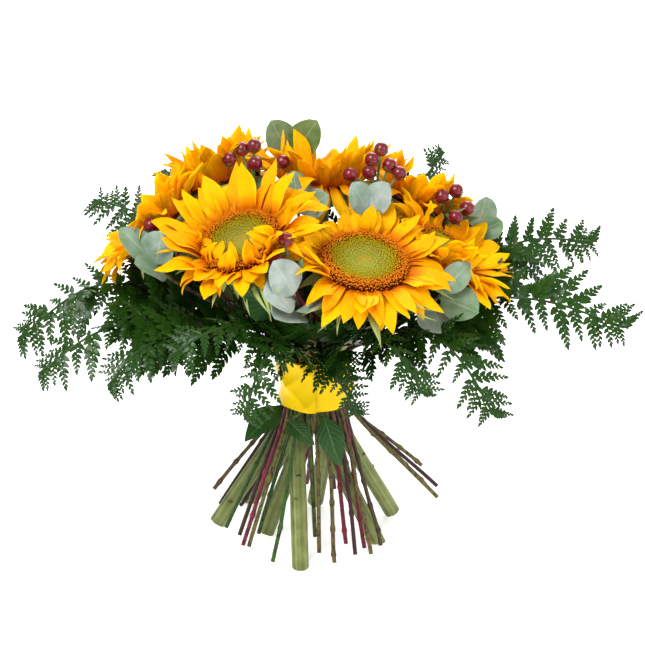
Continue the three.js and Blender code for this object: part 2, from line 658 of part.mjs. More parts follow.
/** The pointed green bracts behind the petals. */
function addBracts(flower) {
  const { out, top, across, centre } = headAxes(flower);
  for (let i = 0; i < BRACTS; i++) {
    const azimuth = radians((360 * (i + 0.25)) / BRACTS);
    const along = top.clone().multiplyScalar(Math.cos(azimuth)).addScaledVector(across, Math.sin(azimuth));
    keepFirstClear(`sunflower_${flower.name}_stem`, PETAL_VARIANTS, ({ scale, bent }, margin) => blade(fatter({
      root: centre.clone().addScaledVector(along, 0.8 * flower.disc).addScaledVector(out, -6),
      along,
      up: out,
      length: BRACT_LENGTH * scale,
      lift: -6 + bent / 2,
      bend: -40,
      half: 4.5,
      outline: BRACT_OUTLINE,
      ribs: BRACT_RIBS,
      thick: PETAL_THICK,
    }, margin)));
  }
}

// ---- Foliage and berries ----

const PINNA_BENDS = [0, -10, 10, -20, 20, -32, 32, -46, 46, -62];
const PINNA_VARIANTS = [1, 0.8, 0.6, 0.42].flatMap((scale) => PINNA_BENDS.map((bent) => ({ scale, bent })));

function addPinna(name, root, along, up, length, teeth, droop) {
  return keepFirstClear(name, PINNA_VARIANTS, ({ scale, bent }, margin) => blade(fatter({
    root,
    along,
    up,
    length: length * scale,
    lift: bent,
    bend: droop,
    half: 0.21 * length * scale + 1.6,
    outline: pinnaOutline(teeth),
    ribs: pinnaOutline(teeth).filter((_, i) => i % 2 === 0).map(([share]) => share + 0.005),
    thick: PINNA_THICK,
  }, margin)));
}

/** A fern frond: pinnae on both sides of the rachis, shorter towards its tip. */
function addFrondBlade(name, { face, longest }, curve) {
  const bladeStart = 1 - (longest * 2.35) / curve.getLength();
  const pairs = longest < 63 ? 5 : 6;
  for (let i = 0; i < pairs; i++) {
    const share = i / pairs;
    const length = longest * (1 - 0.8 * share) * (i === 0 ? 0.9 : 1);
    const teeth = Math.max(1, Math.round(length / 22));
    for (const side of [1, -1]) {
      const at = THREE.MathUtils.lerp(bladeStart, 0.985, share + (side > 0 ? 0 : 0.45 / pairs));
      const forward = curve.getTangentAt(at);
      const up = square(vector(face), forward);
      const across = new THREE.Vector3().crossVectors(forward, up).multiplyScalar(side);
      const along = forward.multiplyScalar(Math.cos(radians(PINNA_ANGLE)))
        .addScaledVector(across, Math.sin(radians(PINNA_ANGLE)));
      addPinna(name, curve.getPointAt(at), along, up, length, teeth, -22);
    }
  }
}

/** A berry on its stalk: five points pulled out and back of its waist are the sepals. */
function berrySolid(start, berry, margin) {
  const radius = BERRY_RADIUS + margin;
  const stalkRadius = 1.1 + margin;
  const away = berry.clone().sub(start).normalize();
  const side = square(Math.abs(away.z) < 0.9 ? new THREE.Vector3(0, 0, 1) : new THREE.Vector3(1, 0, 0), away);
  const other = new THREE.Vector3().crossVectors(away, side);
  const at = (middle, azimuth, out, height) => middle.clone()
    .addScaledVector(side, out * Math.cos(radians(azimuth)))
    .addScaledVector(other, out * Math.sin(radians(azimuth)))
    .addScaledVector(away, height);
  const points = [at(start, 0, 0, 0), at(berry, 0, 0, 1.05 * radius)];
  const faces = [];
  for (let i = 0; i < 5; i++) {
    const [foot, neck, low, high, sepal] = [2, 3, 4, 5, 6].map((k) => k + 5 * i);
    const [nextFoot, nextNeck, nextLow, nextHigh] = [2, 3, 4, 5].map((k) => k + 5 * ((i + 1) % 5));
    points.push(at(start, 72 * i, stalkRadius, 0), at(berry, 72 * i, stalkRadius, -radius));
    points.push(at(berry, 72 * i, 0.92 * radius, -0.45 * radius));
    points.push(at(berry, 72 * i + 36, 0.92 * radius, 0.45 * radius));
    points.push(at(berry, 72 * i + 36, 1.45 * radius, -0.7 * radius));
    faces.push([0, nextFoot, foot], [foot, nextFoot, nextNeck], [foot, nextNeck, neck]);
    faces.push([neck, nextNeck, sepal], [neck, sepal, low]);
    faces.push([nextNeck, nextLow, sepal], [low, sepal, nextLow]);
    faces.push([low, nextLow, high], [nextLow, nextHigh, high], [high, nextHigh, 1]);
  }
  return solidOf(points, faces);
}

function addHypericum(name, spec) {
  const curve = addTwig(name, spec, [0, 4], TWIG_RADIUS);
  spec.berries.map(vector).forEach((berry, i) => {
    const end = curve.getPointAt(0.99 - 0.01 * i);
    keepFirstClear(name, [0, 3, 6, 9, 12, 15], (shorter, margin) => {
      const toEnd = end.clone().sub(berry).normalize();
      return berrySolid(end, berry.clone().addScaledVector(toEnd, shorter), margin);
    });
  });
  for (const tip of spec.leaves.map(vector)) {
    addLeaf(name, curve.getPointAt(0.96), tip, new THREE.Vector3(0, -0.5, 0.8), 4.5, LEAF_OUTLINE, LEAF_RIBS);
  }
}

const LEAF_VARIANTS = [1, 0.85, 0.7, 0.5].flatMap((scale) =>
  [0, 10, -10, 20, -20, 32, -32, 45, -45].map((bent) => ({ scale, bent })));

function addLeaf(name, root, tip, face, half, outline, ribs) {
  const along = tip.clone().sub(root);
  const length = along.length();
  along.normalize();
  keepFirstClear(name, LEAF_VARIANTS, ({ scale, bent }, margin) => blade(fatter({
    root,
    along,
    up: square(face, along),
    length: length * scale,
    lift: bent + 8,
    bend: -16,
    half: half * scale,
    outline,
    ribs,
    thick: LEAF_THICK,
    cup: 0.15,
  }, margin)));
}

function addEucalyptus(name, spec) {
  const curve = addTwig(name, spec, [0, 3, 4], 1.1);
  for (const { on, tip, face, half } of spec.leaves) {
    const root = curve.getPointAt(Math.min(on, 0.99));
    addLeaf(name, root, vector(tip), vector(face), half, ROUND_OUTLINE, ROUND_RIBS);
  }
}

function addBroadLeaf(name, spec) {
  startNode(name, LEAF_GREEN, 0.45);
  const curve = addTwig(name, spec, [0], TWIG_RADIUS);
  const root = curve.getPointAt(spec.hangs ? 0.005 : 0.99);
  addLeaf(name, root, vector(spec.tip), vector(spec.face), spec.half, LEAF_OUTLINE, LEAF_RIBS);
}

// ---- Ribbon ----

function addRibbon() {
  startNode("ribbon", RIBBON_YELLOW, 0.35);
  const inner = RIBBON_RADIUS + FLARE;
  const outer = inner + RIBBON_THICK;
  const low = WAIST_Z - RIBBON_HEIGHT / 2;
  const high = WAIST_Z + RIBBON_HEIGHT / 2;
  const profile = [[inner, low], [outer, low], [outer, high], [inner, high], [inner, low]]
    .map(([x, y]) => new THREE.Vector2(x, y));
  const ring = new THREE.LatheGeometry(profile, 24);
  ring.rotateX(Math.PI / 2);
  keep("ribbon", solidFrom(ring));
}

// ---- Building the bunch ----

SUNFLOWERS.forEach(addSunflowerStem);
SUNFLOWERS.forEach(addDisc);
SUNFLOWERS.forEach(reserveCollar);
addRibbon();
const frondCurves = {};
for (const [name, spec] of Object.entries(FRONDS)) {
  startNode(name, FERN_GREEN, 0.35);
  frondCurves[name] = addTwig(name, spec, [0, 4, 6], 0.8);
}
for (const [name, spec] of Object.entries(EUCALYPTUS)) {
  startNode(name, EUCALYPTUS_GREEN, 0.6);
  addEucalyptus(name, spec);
}
for (const [name, spec] of Object.entries(HYPERICUM)) {
  startNode(name, BERRY_RED, 0.3);
  addHypericum(name, spec);
}
for (const [name, spec] of Object.entries(BROAD_LEAVES)) addBroadLeaf(name, spec);
SUNFLOWERS.forEach(addPetals);
SUNFLOWERS.forEach(addBracts);
for (const [name, spec] of Object.entries(FRONDS)) addFrondBlade(name, spec, frondCurves[name]);

/** The node's solids joined into one body, without its shortest edges. A loose scrap is dropped. */
function joined(solids) {
  const whole = solids.slice(1).reduce((sum, solid) => sum.add(solid), solids[0]);
  return whole.simplify(0.06).decompose().sort((a, b) => b.volume() - a.volume())[0];
}

function geometryOf(solid) {
  const mesh = solid.getMesh();
  const geometry = new THREE.BufferGeometry();
  geometry.setAttribute("position", new THREE.BufferAttribute(new Float32Array(mesh.vertProperties), 3));
  geometry.setIndex(new THREE.BufferAttribute(new Uint32Array(mesh.triVerts), 1));
  geometry.computeVertexNormals();
  return geometry;
}

const bunch = new THREE.Group();
for (const [name, { solids, material }] of nodes) {
  const mesh = new THREE.Mesh(geometryOf(joined(solids)), material);
  mesh.name = name;
  bunch.add(mesh);
}

// The origin is the middle of the bunch's box, on the table.
const box = new THREE.Box3().setFromObject(bunch);
const middle = box.getCenter(new THREE.Vector3());
for (const mesh of bunch.children) mesh.geometry.translate(-middle.x, -middle.y, -box.min.z);

export default bunch;
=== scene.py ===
# %% [markdown]
# # A hand-tied bunch of sunflowers
#
# Seven sunflowers, fern fronds, berries and eucalyptus pass through one satin tie and stand on
# their own cut ends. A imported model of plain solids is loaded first: it fixes where every stem
# passes, where every petal points and how large it all is. Each cell then grows the fine surfaces
# of one kind of plant over its solids, as two-parameter grids worked out with numpy.

# %% Load the frame of plain solids
from functools import partial

import bpy
import numpy as np
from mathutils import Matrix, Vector


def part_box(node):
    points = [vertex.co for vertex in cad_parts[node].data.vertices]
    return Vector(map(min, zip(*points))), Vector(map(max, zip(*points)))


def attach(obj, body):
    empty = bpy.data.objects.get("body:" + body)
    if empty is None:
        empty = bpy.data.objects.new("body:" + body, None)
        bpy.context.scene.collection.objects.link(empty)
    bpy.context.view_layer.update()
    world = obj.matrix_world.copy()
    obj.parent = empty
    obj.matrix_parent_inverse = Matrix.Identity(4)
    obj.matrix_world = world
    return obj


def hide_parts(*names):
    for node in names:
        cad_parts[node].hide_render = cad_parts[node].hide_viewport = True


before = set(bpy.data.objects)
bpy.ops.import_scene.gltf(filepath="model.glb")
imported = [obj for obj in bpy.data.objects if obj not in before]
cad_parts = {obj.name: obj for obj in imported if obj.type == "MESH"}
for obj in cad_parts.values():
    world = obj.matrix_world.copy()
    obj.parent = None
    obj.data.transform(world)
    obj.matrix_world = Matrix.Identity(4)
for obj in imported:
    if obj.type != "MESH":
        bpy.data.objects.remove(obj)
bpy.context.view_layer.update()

# %% [markdown]
# ## The camera
#
# A product photograph of a bunch is taken from a little above the table with a long lens, so that
# near and far flowers keep nearly the same size. The camera comes first, because it decides which
# details can show. It looks down by 20 degrees from 1.8 m away.

# %% Place the camera
def add_object(name, data):
    """Puts a new object in the scene, with a camera, a mesh or a lamp as its data."""
    added = bpy.data.objects.new(name, data)
    bpy.context.scene.collection.objects.link(added)
    return added


WAIST = 128.0  # mm, the height of the tie
RIBBON_HEIGHT = 38.0
ribbon_low, ribbon_high = (1000 * np.array(corner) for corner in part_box("ribbon"))
SHIFT = np.append((ribbon_low + ribbon_high)[:2] / 2, ribbon_low[2] - (WAIST - RIBBON_HEIGHT / 2))

CAMERA_DISTANCE = 1800.0
CAMERA_TILT = np.radians(20)
FRAME_WIDTH = 0.75 * 645  # mm across the picture, at the bunch
target = np.array([5.6, 0, 171]) + SHIFT
eye = target + CAMERA_DISTANCE * np.array([0, -np.cos(CAMERA_TILT), np.sin(CAMERA_TILT)])

camera = add_object("camera", bpy.data.cameras.new("camera"))
camera.location = eye / 1000
camera.rotation_euler = (np.pi / 2 - CAMERA_TILT, 0, 0)
camera.data.angle = 2 * np.arctan(FRAME_WIDTH / 2 / CAMERA_DISTANCE)
camera.data.clip_end = 20
bpy.context.scene.camera = camera
print("camera at", (eye / 1000).round(3), "sees", round(FRAME_WIDTH), "mm")

# %% [markdown]
# ## Paths
#
# Stems and twigs run along smooth curves through a few points. A centripetal Catmull-Rom curve
# passes through each of its points and makes no loops where they are unevenly spaced. It is sampled
# once, finely, and its length is added up, so that any share of the way can be looked up.


# %% A curve through points
def curve_points(corners, per_span=24):
    """Centripetal Catmull-Rom. On each span the curve is a cubic whose end slopes come from the
    neighbouring points, weighted by the square roots of the distances between them."""
    corners = np.asarray(corners, float)
    padded = np.vstack([2 * corners[0] - corners[1], corners, 2 * corners[-1] - corners[-2]])
    a, b, c, d = padded[:-3], padded[1:-2], padded[2:-1], padded[3:]
    ab, bc, cd = (np.sqrt(np.linalg.norm(q - p, axis=1))[:, None] for p, q in ((a, b), (b, c), (c, d)))
    slope_b = ((b - a) / ab - (c - a) / (ab + bc) + (c - b) / bc) * bc
    slope_c = ((c - b) / bc - (d - b) / (bc + cd) + (d - c) / cd) * bc
    t = np.linspace(0, 1, per_span, endpoint=False)[None, :, None]
    b, c, slope_b, slope_c = (x[:, None] for x in (b, c, slope_b, slope_c))
    cubic = b + slope_b * t + (3 * (c - b) - 2 * slope_b - slope_c) * t**2
    cubic = cubic + (2 * (b - c) + slope_b + slope_c) * t**3
    return np.vstack([cubic.reshape(-1, 3), corners[-1]])


def along_path(path, shares):
    """The points and unit directions at shares of a path's length, by linear interpolation."""
    lengths = np.append(0, np.cumsum(np.linalg.norm(np.diff(path, axis=0), axis=1)))
    shares = np.atleast_1d(shares)
    at = [np.array([np.interp(s * lengths[-1], lengths, path[:, k]) for k in range(3)]).T
          for s in (shares, np.clip(shares - 0.004, 0, 1), np.clip(shares + 0.004, 0, 1))]
    return at[0], unit(at[2] - at[1])


def unit(v):
    """A vector divided by its length, along the last axis."""
    return v / np.linalg.norm(v, axis=-1, keepdims=True)


def square_to(v, axis):
    """The part of v that is square to the unit vector axis, at length 1."""
    return unit(v - np.sum(v * axis, axis=-1, keepdims=True) * axis)


def way_at(first, second, angle):
    """The way at an angle from first towards second: cos(angle) first + sin(angle) second."""
    return np.cos(angle)[..., None] * first + np.sin(angle)[..., None] * second


def circle_of(first, second, sides):
    """The corners of a ring of so many sides, as the ways at the angles 2 pi k / sides."""
    return way_at(first, second, 2 * np.pi * np.arange(sides) / sides)


# %% [markdown]
# ## Surfaces
#
# Everything here is a skin wrapped round a path: round for a stem, and a thin lens for a petal or a
# leaf, whose two skins meet in a sharp edge. A grid of rings holds it, and a single point closes
# each end. Many copies share one shape, so the arrays have the copies as their first axis.


# %% Collect rings and make a mesh
class Skins:
    """Gathers closed skins of rings for one object, each with its material and three attributes:
    tone is a number for each copy, along is the share of the way to its tip, and across goes from
    -1 to 1 over the width of a blade. A thick stem has a random number on each side as across."""

    def __init__(self):
        self.points, self.quads, self.triangles = [], [], []
        self.tones, self.alongs, self.acrosses = [], [], []
        self.quad_finish, self.triangle_finish = [], []
        self.finishes, self.count = [], 0

    def add(self, rings, start, end, finish, tone=0.5, cap=None, across=None):
        """rings has the shape (copies, rings, points of a ring, 3); start and end close the ends.
        cap is the finish of the first end, where it is another one."""
        copies, stations, around, _ = rings.shape
        self.finishes += [new for new in (finish, cap) if new is not None and new not in self.finishes]
        index = self.finishes.index(finish)
        cap_index = index if cap is None else self.finishes.index(cap)
        points = np.concatenate([rings.reshape(copies, -1, 3), start[:, None], end[:, None]], axis=1)
        size = points.shape[1]
        i, j = np.meshgrid(np.arange(stations - 1), np.arange(around), indexing="ij")
        k = (j + 1) % around
        quads = np.stack([i * around + j, i * around + k, (i + 1) * around + k, (i + 1) * around + j], -1)
        j = np.arange(around)
        k = (j + 1) % around
        last = (stations - 1) * around
        fans = np.concatenate([
            np.stack([k, j, np.full(around, size - 2)], -1),
            np.stack([last + j, last + k, np.full(around, size - 1)], -1),
        ])
        quads = quads.reshape(-1, 4)
        first = points[0] - points[0].mean(axis=0)
        corners = np.concatenate([first[quads[:, [0, 1, 2]]], first[quads[:, [0, 2, 3]]], first[fans]])
        if np.linalg.det(corners).sum() < 0:
            quads, fans = quads[:, ::-1], fans[:, ::-1]
        offset = self.count + size * np.arange(copies)[:, None, None]
        self.points.append(points.reshape(-1, 3))
        self.quads.append((quads + offset).reshape(-1, 4))
        self.triangles.append((fans + offset).reshape(-1, 3))
        self.quad_finish.append(np.full(copies * len(quads), index))
        self.triangle_finish.append(np.tile(np.repeat([cap_index, index], around), copies))
        self.tones.append(np.repeat(np.broadcast_to(tone, copies), size))
        share = np.concatenate([np.repeat(np.linspace(0, 1, stations), around), [0, 1]])
        self.alongs.append(np.tile(share, copies))
        across = np.cos(2 * np.pi * np.arange(around) / around) if across is None else across
        self.acrosses.append(np.tile(np.append(np.tile(across, stations), [0, 0]), copies))
        self.count += copies * size

    def make(self, name):
        """Makes the object that stands for the solid of this name, with its place in its mesh. Edges
        sharper than 60 degrees, such as the rims of leaves, stay sharp."""
        mesh = bpy.data.meshes.new(name)
        points = (np.concatenate(self.points) + SHIFT) / 1000
        faces = np.concatenate(self.quads).tolist() + np.concatenate(self.triangles).tolist()
        mesh.from_pydata(points.tolist(), [], faces)
        for finish in self.finishes:
            mesh.materials.append(finish)
        indices = np.concatenate(self.quad_finish + self.triangle_finish)
        mesh.polygons.foreach_set("material_index", indices.astype(np.int32))
        mesh.polygons.foreach_set("use_smooth", np.ones(len(faces), bool))
        for attribute, values in (("tone", self.tones), ("along", self.alongs), ("across", self.acrosses)):
            layer = mesh.attributes.new(attribute, "FLOAT", "POINT")
            layer.data.foreach_set("value", np.concatenate(values).astype(np.float32))
        mesh.update()
        mesh.set_sharp_from_angle(angle=np.radians(60))
        piece = add_object(name + "_grown", mesh)
        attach(piece, "root")
        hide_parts(name)
        made.append((name, 2 * sum(map(len, self.quads)) + sum(map(len, self.triangles))))


made = []  # the name and the number of triangles of each piece


# %% Round stems and flat blades
def add_stem(skins, path, radius, finish, sides=8, tone=0.5, ends=0.0):
    """A circle carried along a path: centre + radius (cos v across + sin v other). The radius may
    change on the way. ends is how far the closing points stand out of the flat ends."""
    steps = unit(np.gradient(path, axis=0))
    guides = np.eye(3)
    guide = guides[np.argmin([np.abs(steps @ g).max() for g in guides])]
    across = square_to(np.broadcast_to(guide, steps.shape), steps)
    circle = circle_of(across[:, None], np.cross(steps, across)[:, None], sides)
    rings = path[:, None] + np.broadcast_to(radius, len(path))[:, None, None] * circle
    start, end = path[0] - ends * steps[0], path[-1] + ends * steps[-1]
    skins.add(rings[None], start[None], end[None], finish, tone)


def bent_place(shape, share, side, height):
    """Where a point of a blade lies. The rib leaves its root at lift degrees from along towards up
    and turns evenly by bend degrees, so it is an arc of a circle: its forward part is the sine's
    change and its rise the cosine's change, over the turn. height is square to the rib."""
    start = np.radians(shape["lift"])[:, None, None]
    turn = np.radians(shape["bend"])[:, None, None]
    length = shape["length"][:, None, None]
    heading = start + turn * share
    forward = (np.sin(heading) - np.sin(start)) * length / turn - np.sin(heading) * height
    rise = (np.cos(start) - np.cos(heading)) * length / turn + np.cos(heading) * height
    left = np.cross(shape["up"], shape["along"])
    return (shape["root"][:, None, None] + forward[..., None] * shape["along"][:, None, None]
            + rise[..., None] * shape["up"][:, None, None] + side[..., None] * left[:, None, None])


def blade_of(root, along, up, length, lift, bend, **more):
    """Gives every value of some blades the same number of rows, one for each blade."""
    root, along, up = (np.atleast_2d(np.asarray(v, float)) for v in (root, along, up))
    copies = max(len(root), len(along), np.size(length), np.size(lift))
    ways = {"root": root, "along": along, "up": up}
    numbers = {"length": length, "lift": lift, "bend": bend, "sway": 0.0, **more}
    shape = {name: np.broadcast_to(v, (copies, 3)) for name, v in ways.items()}
    return shape | {name: np.broadcast_to(np.asarray(v, float), copies) for name, v in numbers.items()}


def add_blades(skins, shape, widths, finish, stations, around, thick, relief=None, tone=0.5):
    """A lens carried along each rib. At angle v round it, the point stands to the side by
    sign(cos v) |cos v| ** 0.7 of the half width, and its height is sin v of half the thickness, plus
    the cup, which grows with the square of the way across, and the relief."""
    share = np.linspace(0.02, 0.985, stations)[None, :, None]
    v = 2 * np.pi * np.arange(around)[None, None, :] / around
    across = np.sign(np.cos(v).round(6)) * np.abs(np.cos(v)) ** 0.7
    width = np.interp(share, *zip(*widths))
    half = shape["half"][:, None, None] * width
    height = 0.5 * thick * np.sin(v) * np.sqrt(width) + shape["cup"][:, None, None] * half * across**2
    if relief is not None:
        height = height + relief(share, across, width)
    side = half * across + shape["sway"][:, None, None] * shape["length"][:, None, None] * share**2
    side, share, height = np.broadcast_arrays(side, share, height)
    rings = bent_place(shape, share, side, height)
    sway = (shape["sway"] * shape["length"])[:, None, None]
    start, end = (bent_place(shape, 0 * sway + s, sway * s, 0 * sway)[:, 0, 0] for s in (0.0, 1.0))
    skins.add(rings, start, end, finish, tone, across=across[0, 0])


# %% [markdown]
# ## Reading the solids
#
# In the solids, each petal, leaf and stem was bent a little until it was clear of its neighbours.
# The fine ones have to follow. So each one is tried in all the same bends, and the bend whose tip
# lies on a corner of the solid is the one that was used.


# %% Find the bend that a solid has
def corners_of(name):
    """The corners of a solid in millimetres, measured from the middle of the tie."""
    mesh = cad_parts[name].data
    flat = np.empty(3 * len(mesh.vertices), np.float32)
    mesh.vertices.foreach_get("co", flat)
    return 1000.0 * flat.reshape(-1, 3).astype(float) - SHIFT


def distances(points, corners):
    """From each point to each corner: the square root of the summed squares of the differences."""
    return np.sqrt(((np.asarray(points)[:, None] - corners[None]) ** 2).sum(-1))


def bend_of(shape, corners, tries, near=0.4):
    """The scale and the bend of the blade whose tip is nearest to a corner, or None if all are more
    than near mm off. tries has the scales and the bends of the blades."""
    zero = np.zeros((1, 1, 1))
    tips = bent_place(shape, zero + 1, zero, zero)[:, 0, 0]
    off = distances(tips, corners).min(axis=1)
    best = int(off.argmin())
    return (tries[0][best], tries[1][best]) if off[best] < near else None


def nearest_of(points, corners, count):
    """Of some points, the one whose count nearest corners are the closest on average."""
    return points[np.sort(distances(points, corners), axis=1)[:, :count].mean(axis=1).argmin()]


def grid_of(scales, bends):
    """Every pair of a scale and a bend as two columns."""
    scale, bent = np.meshgrid(scales, bends, indexing="ij")
    return scale.ravel().astype(float), bent.ravel().astype(float)


HEAD_TRIES = grid_of([1, 0.86, 0.7, 0.5, 0.32],
                     [0, 7, -7, 14, -14, 22, -22, 31, -31, 41, -41, 52, -52, 64, 76, 88])
SCALES, BENDS = HEAD_TRIES  # for the petals and the bracts

# %% [markdown]
# ## Materials
#
# Plants are never one flat colour. Each finish below starts from the colours of the real tissue and
# varies them along the blade, from copy to copy and in soft blotches of a real size.


# %% Colours and nodes
def linear(colour):
    """An sRGB hex colour as linear light: c / 12.92 when dark, else ((c + 0.055) / 1.055) ** 2.4."""
    c = np.array([(colour >> bits) & 255 for bits in (16, 8, 0)]) / 255
    return (*np.where(c <= 0.04045, c / 12.92, ((c + 0.055) / 1.055) ** 2.4), 1.0)


def add_node(tree, kind, inputs=None, out=0, into=None, **settings):
    """Adds a shader node, sets its settings, gives each input a value or a link, and returns the
    output called out. Where a socket is given as into, that output is linked to it."""
    added = tree.nodes.new("ShaderNode" + kind)
    for name, value in settings.items():
        setattr(added, name, value)
    for key, value in (inputs or {}).items():
        if isinstance(value, bpy.types.NodeSocket):
            tree.links.new(value, added.inputs[key])
        else:
            added.inputs[key].default_value = value
    if into is not None:
        tree.links.new(added.outputs[out], into)
    return added.outputs[out]


def start_finish(name, **values):
    """A material whose Principled shader has these values on its own sockets, add_node for its tree,
    and the sockets."""
    finish = bpy.data.materials.new(name)
    finish.use_nodes = True
    shader = finish.node_tree.nodes["Principled BSDF"]
    for socket, value in values.items():
        shader.inputs[socket.replace("_", " ")].default_value = value
    return finish, partial(add_node, finish.node_tree), shader.inputs


MIX = {"data_type": "RGBA", "out": 2}  # a Mix node's inputs 6 and 7 are then its colours, and 2 its output

# %% [markdown]
# A ray petal is thin and satin, deep orange at its root and clear yellow towards its tip. Fine
# parallel veins run along it, about 1 mm apart, and their darker orange lines are partly the veins'
# own colour and partly painted shade for the folds between them. Light that enters it comes out a
# little further on, which is why a petal never looks black on its shaded side.

# %% Ray petals
ray_petal, add, shader = start_finish(
    "ray petal", Roughness=0.55, Specular_IOR_Level=0.05, Subsurface_Weight=0.5, Subsurface_Scale=0.003,
    Subsurface_Radius=(1.0, 0.75, 0.12))
along, tone, across = (add("Attribute", attribute_name=name, out="Fac")
                       for name in ("along", "tone", "across"))
place = add("TexCoord", out="Object")
blotch = add("TexNoise", {"Vector": place, "Scale": 160.0, "Detail": 3.0})
from_root = add("MapRange", {0: along, 1: 0.0, 2: 0.45}, interpolation_type="SMOOTHSTEP")
body = add("Mix", {0: tone, 6: linear(0xE88400), 7: linear(0xFABE00)}, **MIX)
body = add("Mix", {0: blotch, 6: body, 7: linear(0xF4A400)}, **MIX)
body = add("Mix", {0: from_root, 6: linear(0xC45400), 7: body}, **MIX)
vein = add("Math", {0: across, 1: 30.0}, operation="MULTIPLY")
vein = add("Math", {0: vein}, operation="SINE")
# painted shade: the darker orange lines are partly the veins' own colour and partly painted shade for the
# petal's folds
vein_share = add("MapRange", {0: vein, 1: 0.2, 2: 1.0, 3: 0.0, 4: 0.42})
add("Mix", {0: vein_share, 6: body, 7: linear(0xCE7000)}, into=shader["Base Color"], **MIX)
add("Bump", {"Height": vein, "Strength": 0.35, "Distance": 0.0003}, into=shader["Normal"])

# %% [markdown]
# The disc's florets open from its rim inwards. The inner ones are closed buds, pale green in the
# middle and turning yellow outwards, and the open ones near the rim are brown tubes with orange
# lips. tone is how far out a floret stands.

# %% Florets
floret, add, shader = start_finish("floret", Roughness=0.6, Specular_IOR_Level=0.1)
along, tone = (add("Attribute", attribute_name=name, out="Fac") for name in ("along", "tone"))
opening = add("MapRange", {0: tone, 1: 0.66, 2: 0.8}, interpolation_type="SMOOTHSTEP")
tip = add("MapRange", {0: along, 1: 0.5, 2: 0.95})
young = add("Mix", {0: tip, 6: linear(0x7E8A10), 7: linear(0xA6AC48)}, **MIX)
ripe = add("Mix", {0: tip, 6: linear(0x8A7E04), 7: linear(0xB09A08)}, **MIX)
ripening = add("MapRange", {0: tone, 1: 0.3, 2: 0.66})
bud = add("Mix", {0: ripening, 6: young, 7: ripe}, **MIX)
tube = add("Mix", {0: tip, 6: linear(0x4E1A02), 7: linear(0xC87008)}, **MIX)
add("Mix", {0: opening, 6: bud, 7: tube}, into=shader["Base Color"], **MIX)

# %% [markdown]
# A sunflower's stem is as thick as a finger, pale green and softly ribbed, with short hairs that
# dull it. Its cut end shows a green rim round white pith. The hairs themselves are too fine for the
# picture, so streaks 2 mm apart stand for them: across holds a number for each of them, and a noise
# of 10 mm patches shifts it. Its bracts are paler, by their tone.

# %% Sunflower stems
stem_skin, add, shader = start_finish("sunflower stem skin", Roughness=0.52, Specular_IOR_Level=0.2)
tone = add("Attribute", attribute_name="tone", out="Fac")
pale = add("MapRange", {0: tone, 1: 0.5, 2: 1.0})
place = add("TexCoord", out="Object")
across = add("Attribute", attribute_name="across", out="Fac")
patch = add("TexNoise", {"Vector": place, "Scale": 90.0, "Detail": 3.0})
streak = add("Math", {0: patch, 1: 2.5, 2: across}, operation="MULTIPLY_ADD")
streak_share = add("MapRange", {0: streak, 1: 0.1, 2: 2.4})
green = add("Mix", {0: streak_share, 6: linear(0x485422), 7: linear(0x878F57)}, **MIX)
add("Mix", {0: pale, 6: green, 7: linear(0x9CAC62)}, into=shader["Base Color"], **MIX)
add("Bump", {"Height": streak, "Strength": 0.5, "Distance": 0.0006}, into=shader["Normal"])

cut_pith, add, shader = start_finish("cut pith", Roughness=0.8)
place = add("TexCoord", out="Object")
cells = add("TexVoronoi", {"Vector": place, "Scale": 900.0}, out="Distance")
add("Mix", {0: cells, 6: linear(0xC9D2A0), 7: linear(0xEEF0D8)}, into=shader["Base Color"], **MIX)

# %% [markdown]
# Leatherleaf fern is stiff and waxy, and so dark a green that its gloss shows as pale edges of
# light. The wax gives it a low roughness, and bumps 4 mm long break the gloss up.

# %% Fern
fern_leaf, add, shader = start_finish("leatherleaf fern", Roughness=0.22, Specular_IOR_Level=0.17)
place = add("TexCoord", out="Object")
tone = add("Attribute", attribute_name="tone", out="Fac")
cloud = add("TexNoise", {"Vector": place, "Scale": 45.0, "Detail": 3.0})
dark = add("Mix", {0: cloud, 6: linear(0x0D2606), 7: linear(0x2A4C12)}, **MIX)
add("Mix", {0: tone, 6: dark, 7: linear(0x1C3A0E)}, into=shader["Base Color"], **MIX)
waves = add("TexNoise", {"Vector": place, "Scale": 250.0, "Detail": 1.0})
add("Bump", {"Height": waves, "Strength": 0.3, "Distance": 0.0005}, into=shader["Normal"])

# %% [markdown]
# The berries' twigs are wine red, the eucalyptus twigs a dark purple brown, and the fern stipes
# olive or leaf green. tone goes through the four. Their bark has darker flakes, about 3 mm long.

# %% Twigs
twig_bark, add, shader = start_finish("woody twig", Roughness=0.45, Specular_IOR_Level=0.25)
place = add("TexCoord", out="Object")
tone = add("Attribute", attribute_name="tone", out="Fac")
flake = add("TexNoise", {"Vector": place, "Scale": 300.0, "Detail": 3.0})
purple = add("MapRange", {0: tone, 1: 0.0, 2: 0.33})
yellow = add("MapRange", {0: tone, 1: 0.33, 2: 0.66})
green = add("MapRange", {0: tone, 1: 0.66, 2: 1.0})
wood = add("Mix", {0: purple, 6: linear(0x7A2034), 7: linear(0x2C141A)}, **MIX)
wood = add("Mix", {0: yellow, 6: wood, 7: linear(0x665A26)}, **MIX)
wood = add("Mix", {0: green, 6: wood, 7: linear(0x2C5014)}, **MIX)
flake_share = add("MapRange", {0: flake, 1: 0.45, 2: 0.7})
add("Mix", {0: flake_share, 6: wood, 7: linear(0x2A161A)}, into=shader["Base Color"], **MIX)
add("Bump", {"Height": flake, "Strength": 0.4, "Distance": 0.0004}, into=shader["Normal"])

# %% [markdown]
# Silver-dollar eucalyptus wears a dry white bloom over its green, thickest in patches, so it has
# hardly any gloss. A pale rib runs up the middle of each leaf. Where the bloom is rubbed off a leaf
# is a dull green, and its youngest leaves, and the sepals and small leaves of the berries, are
# olive. tone goes through the three.

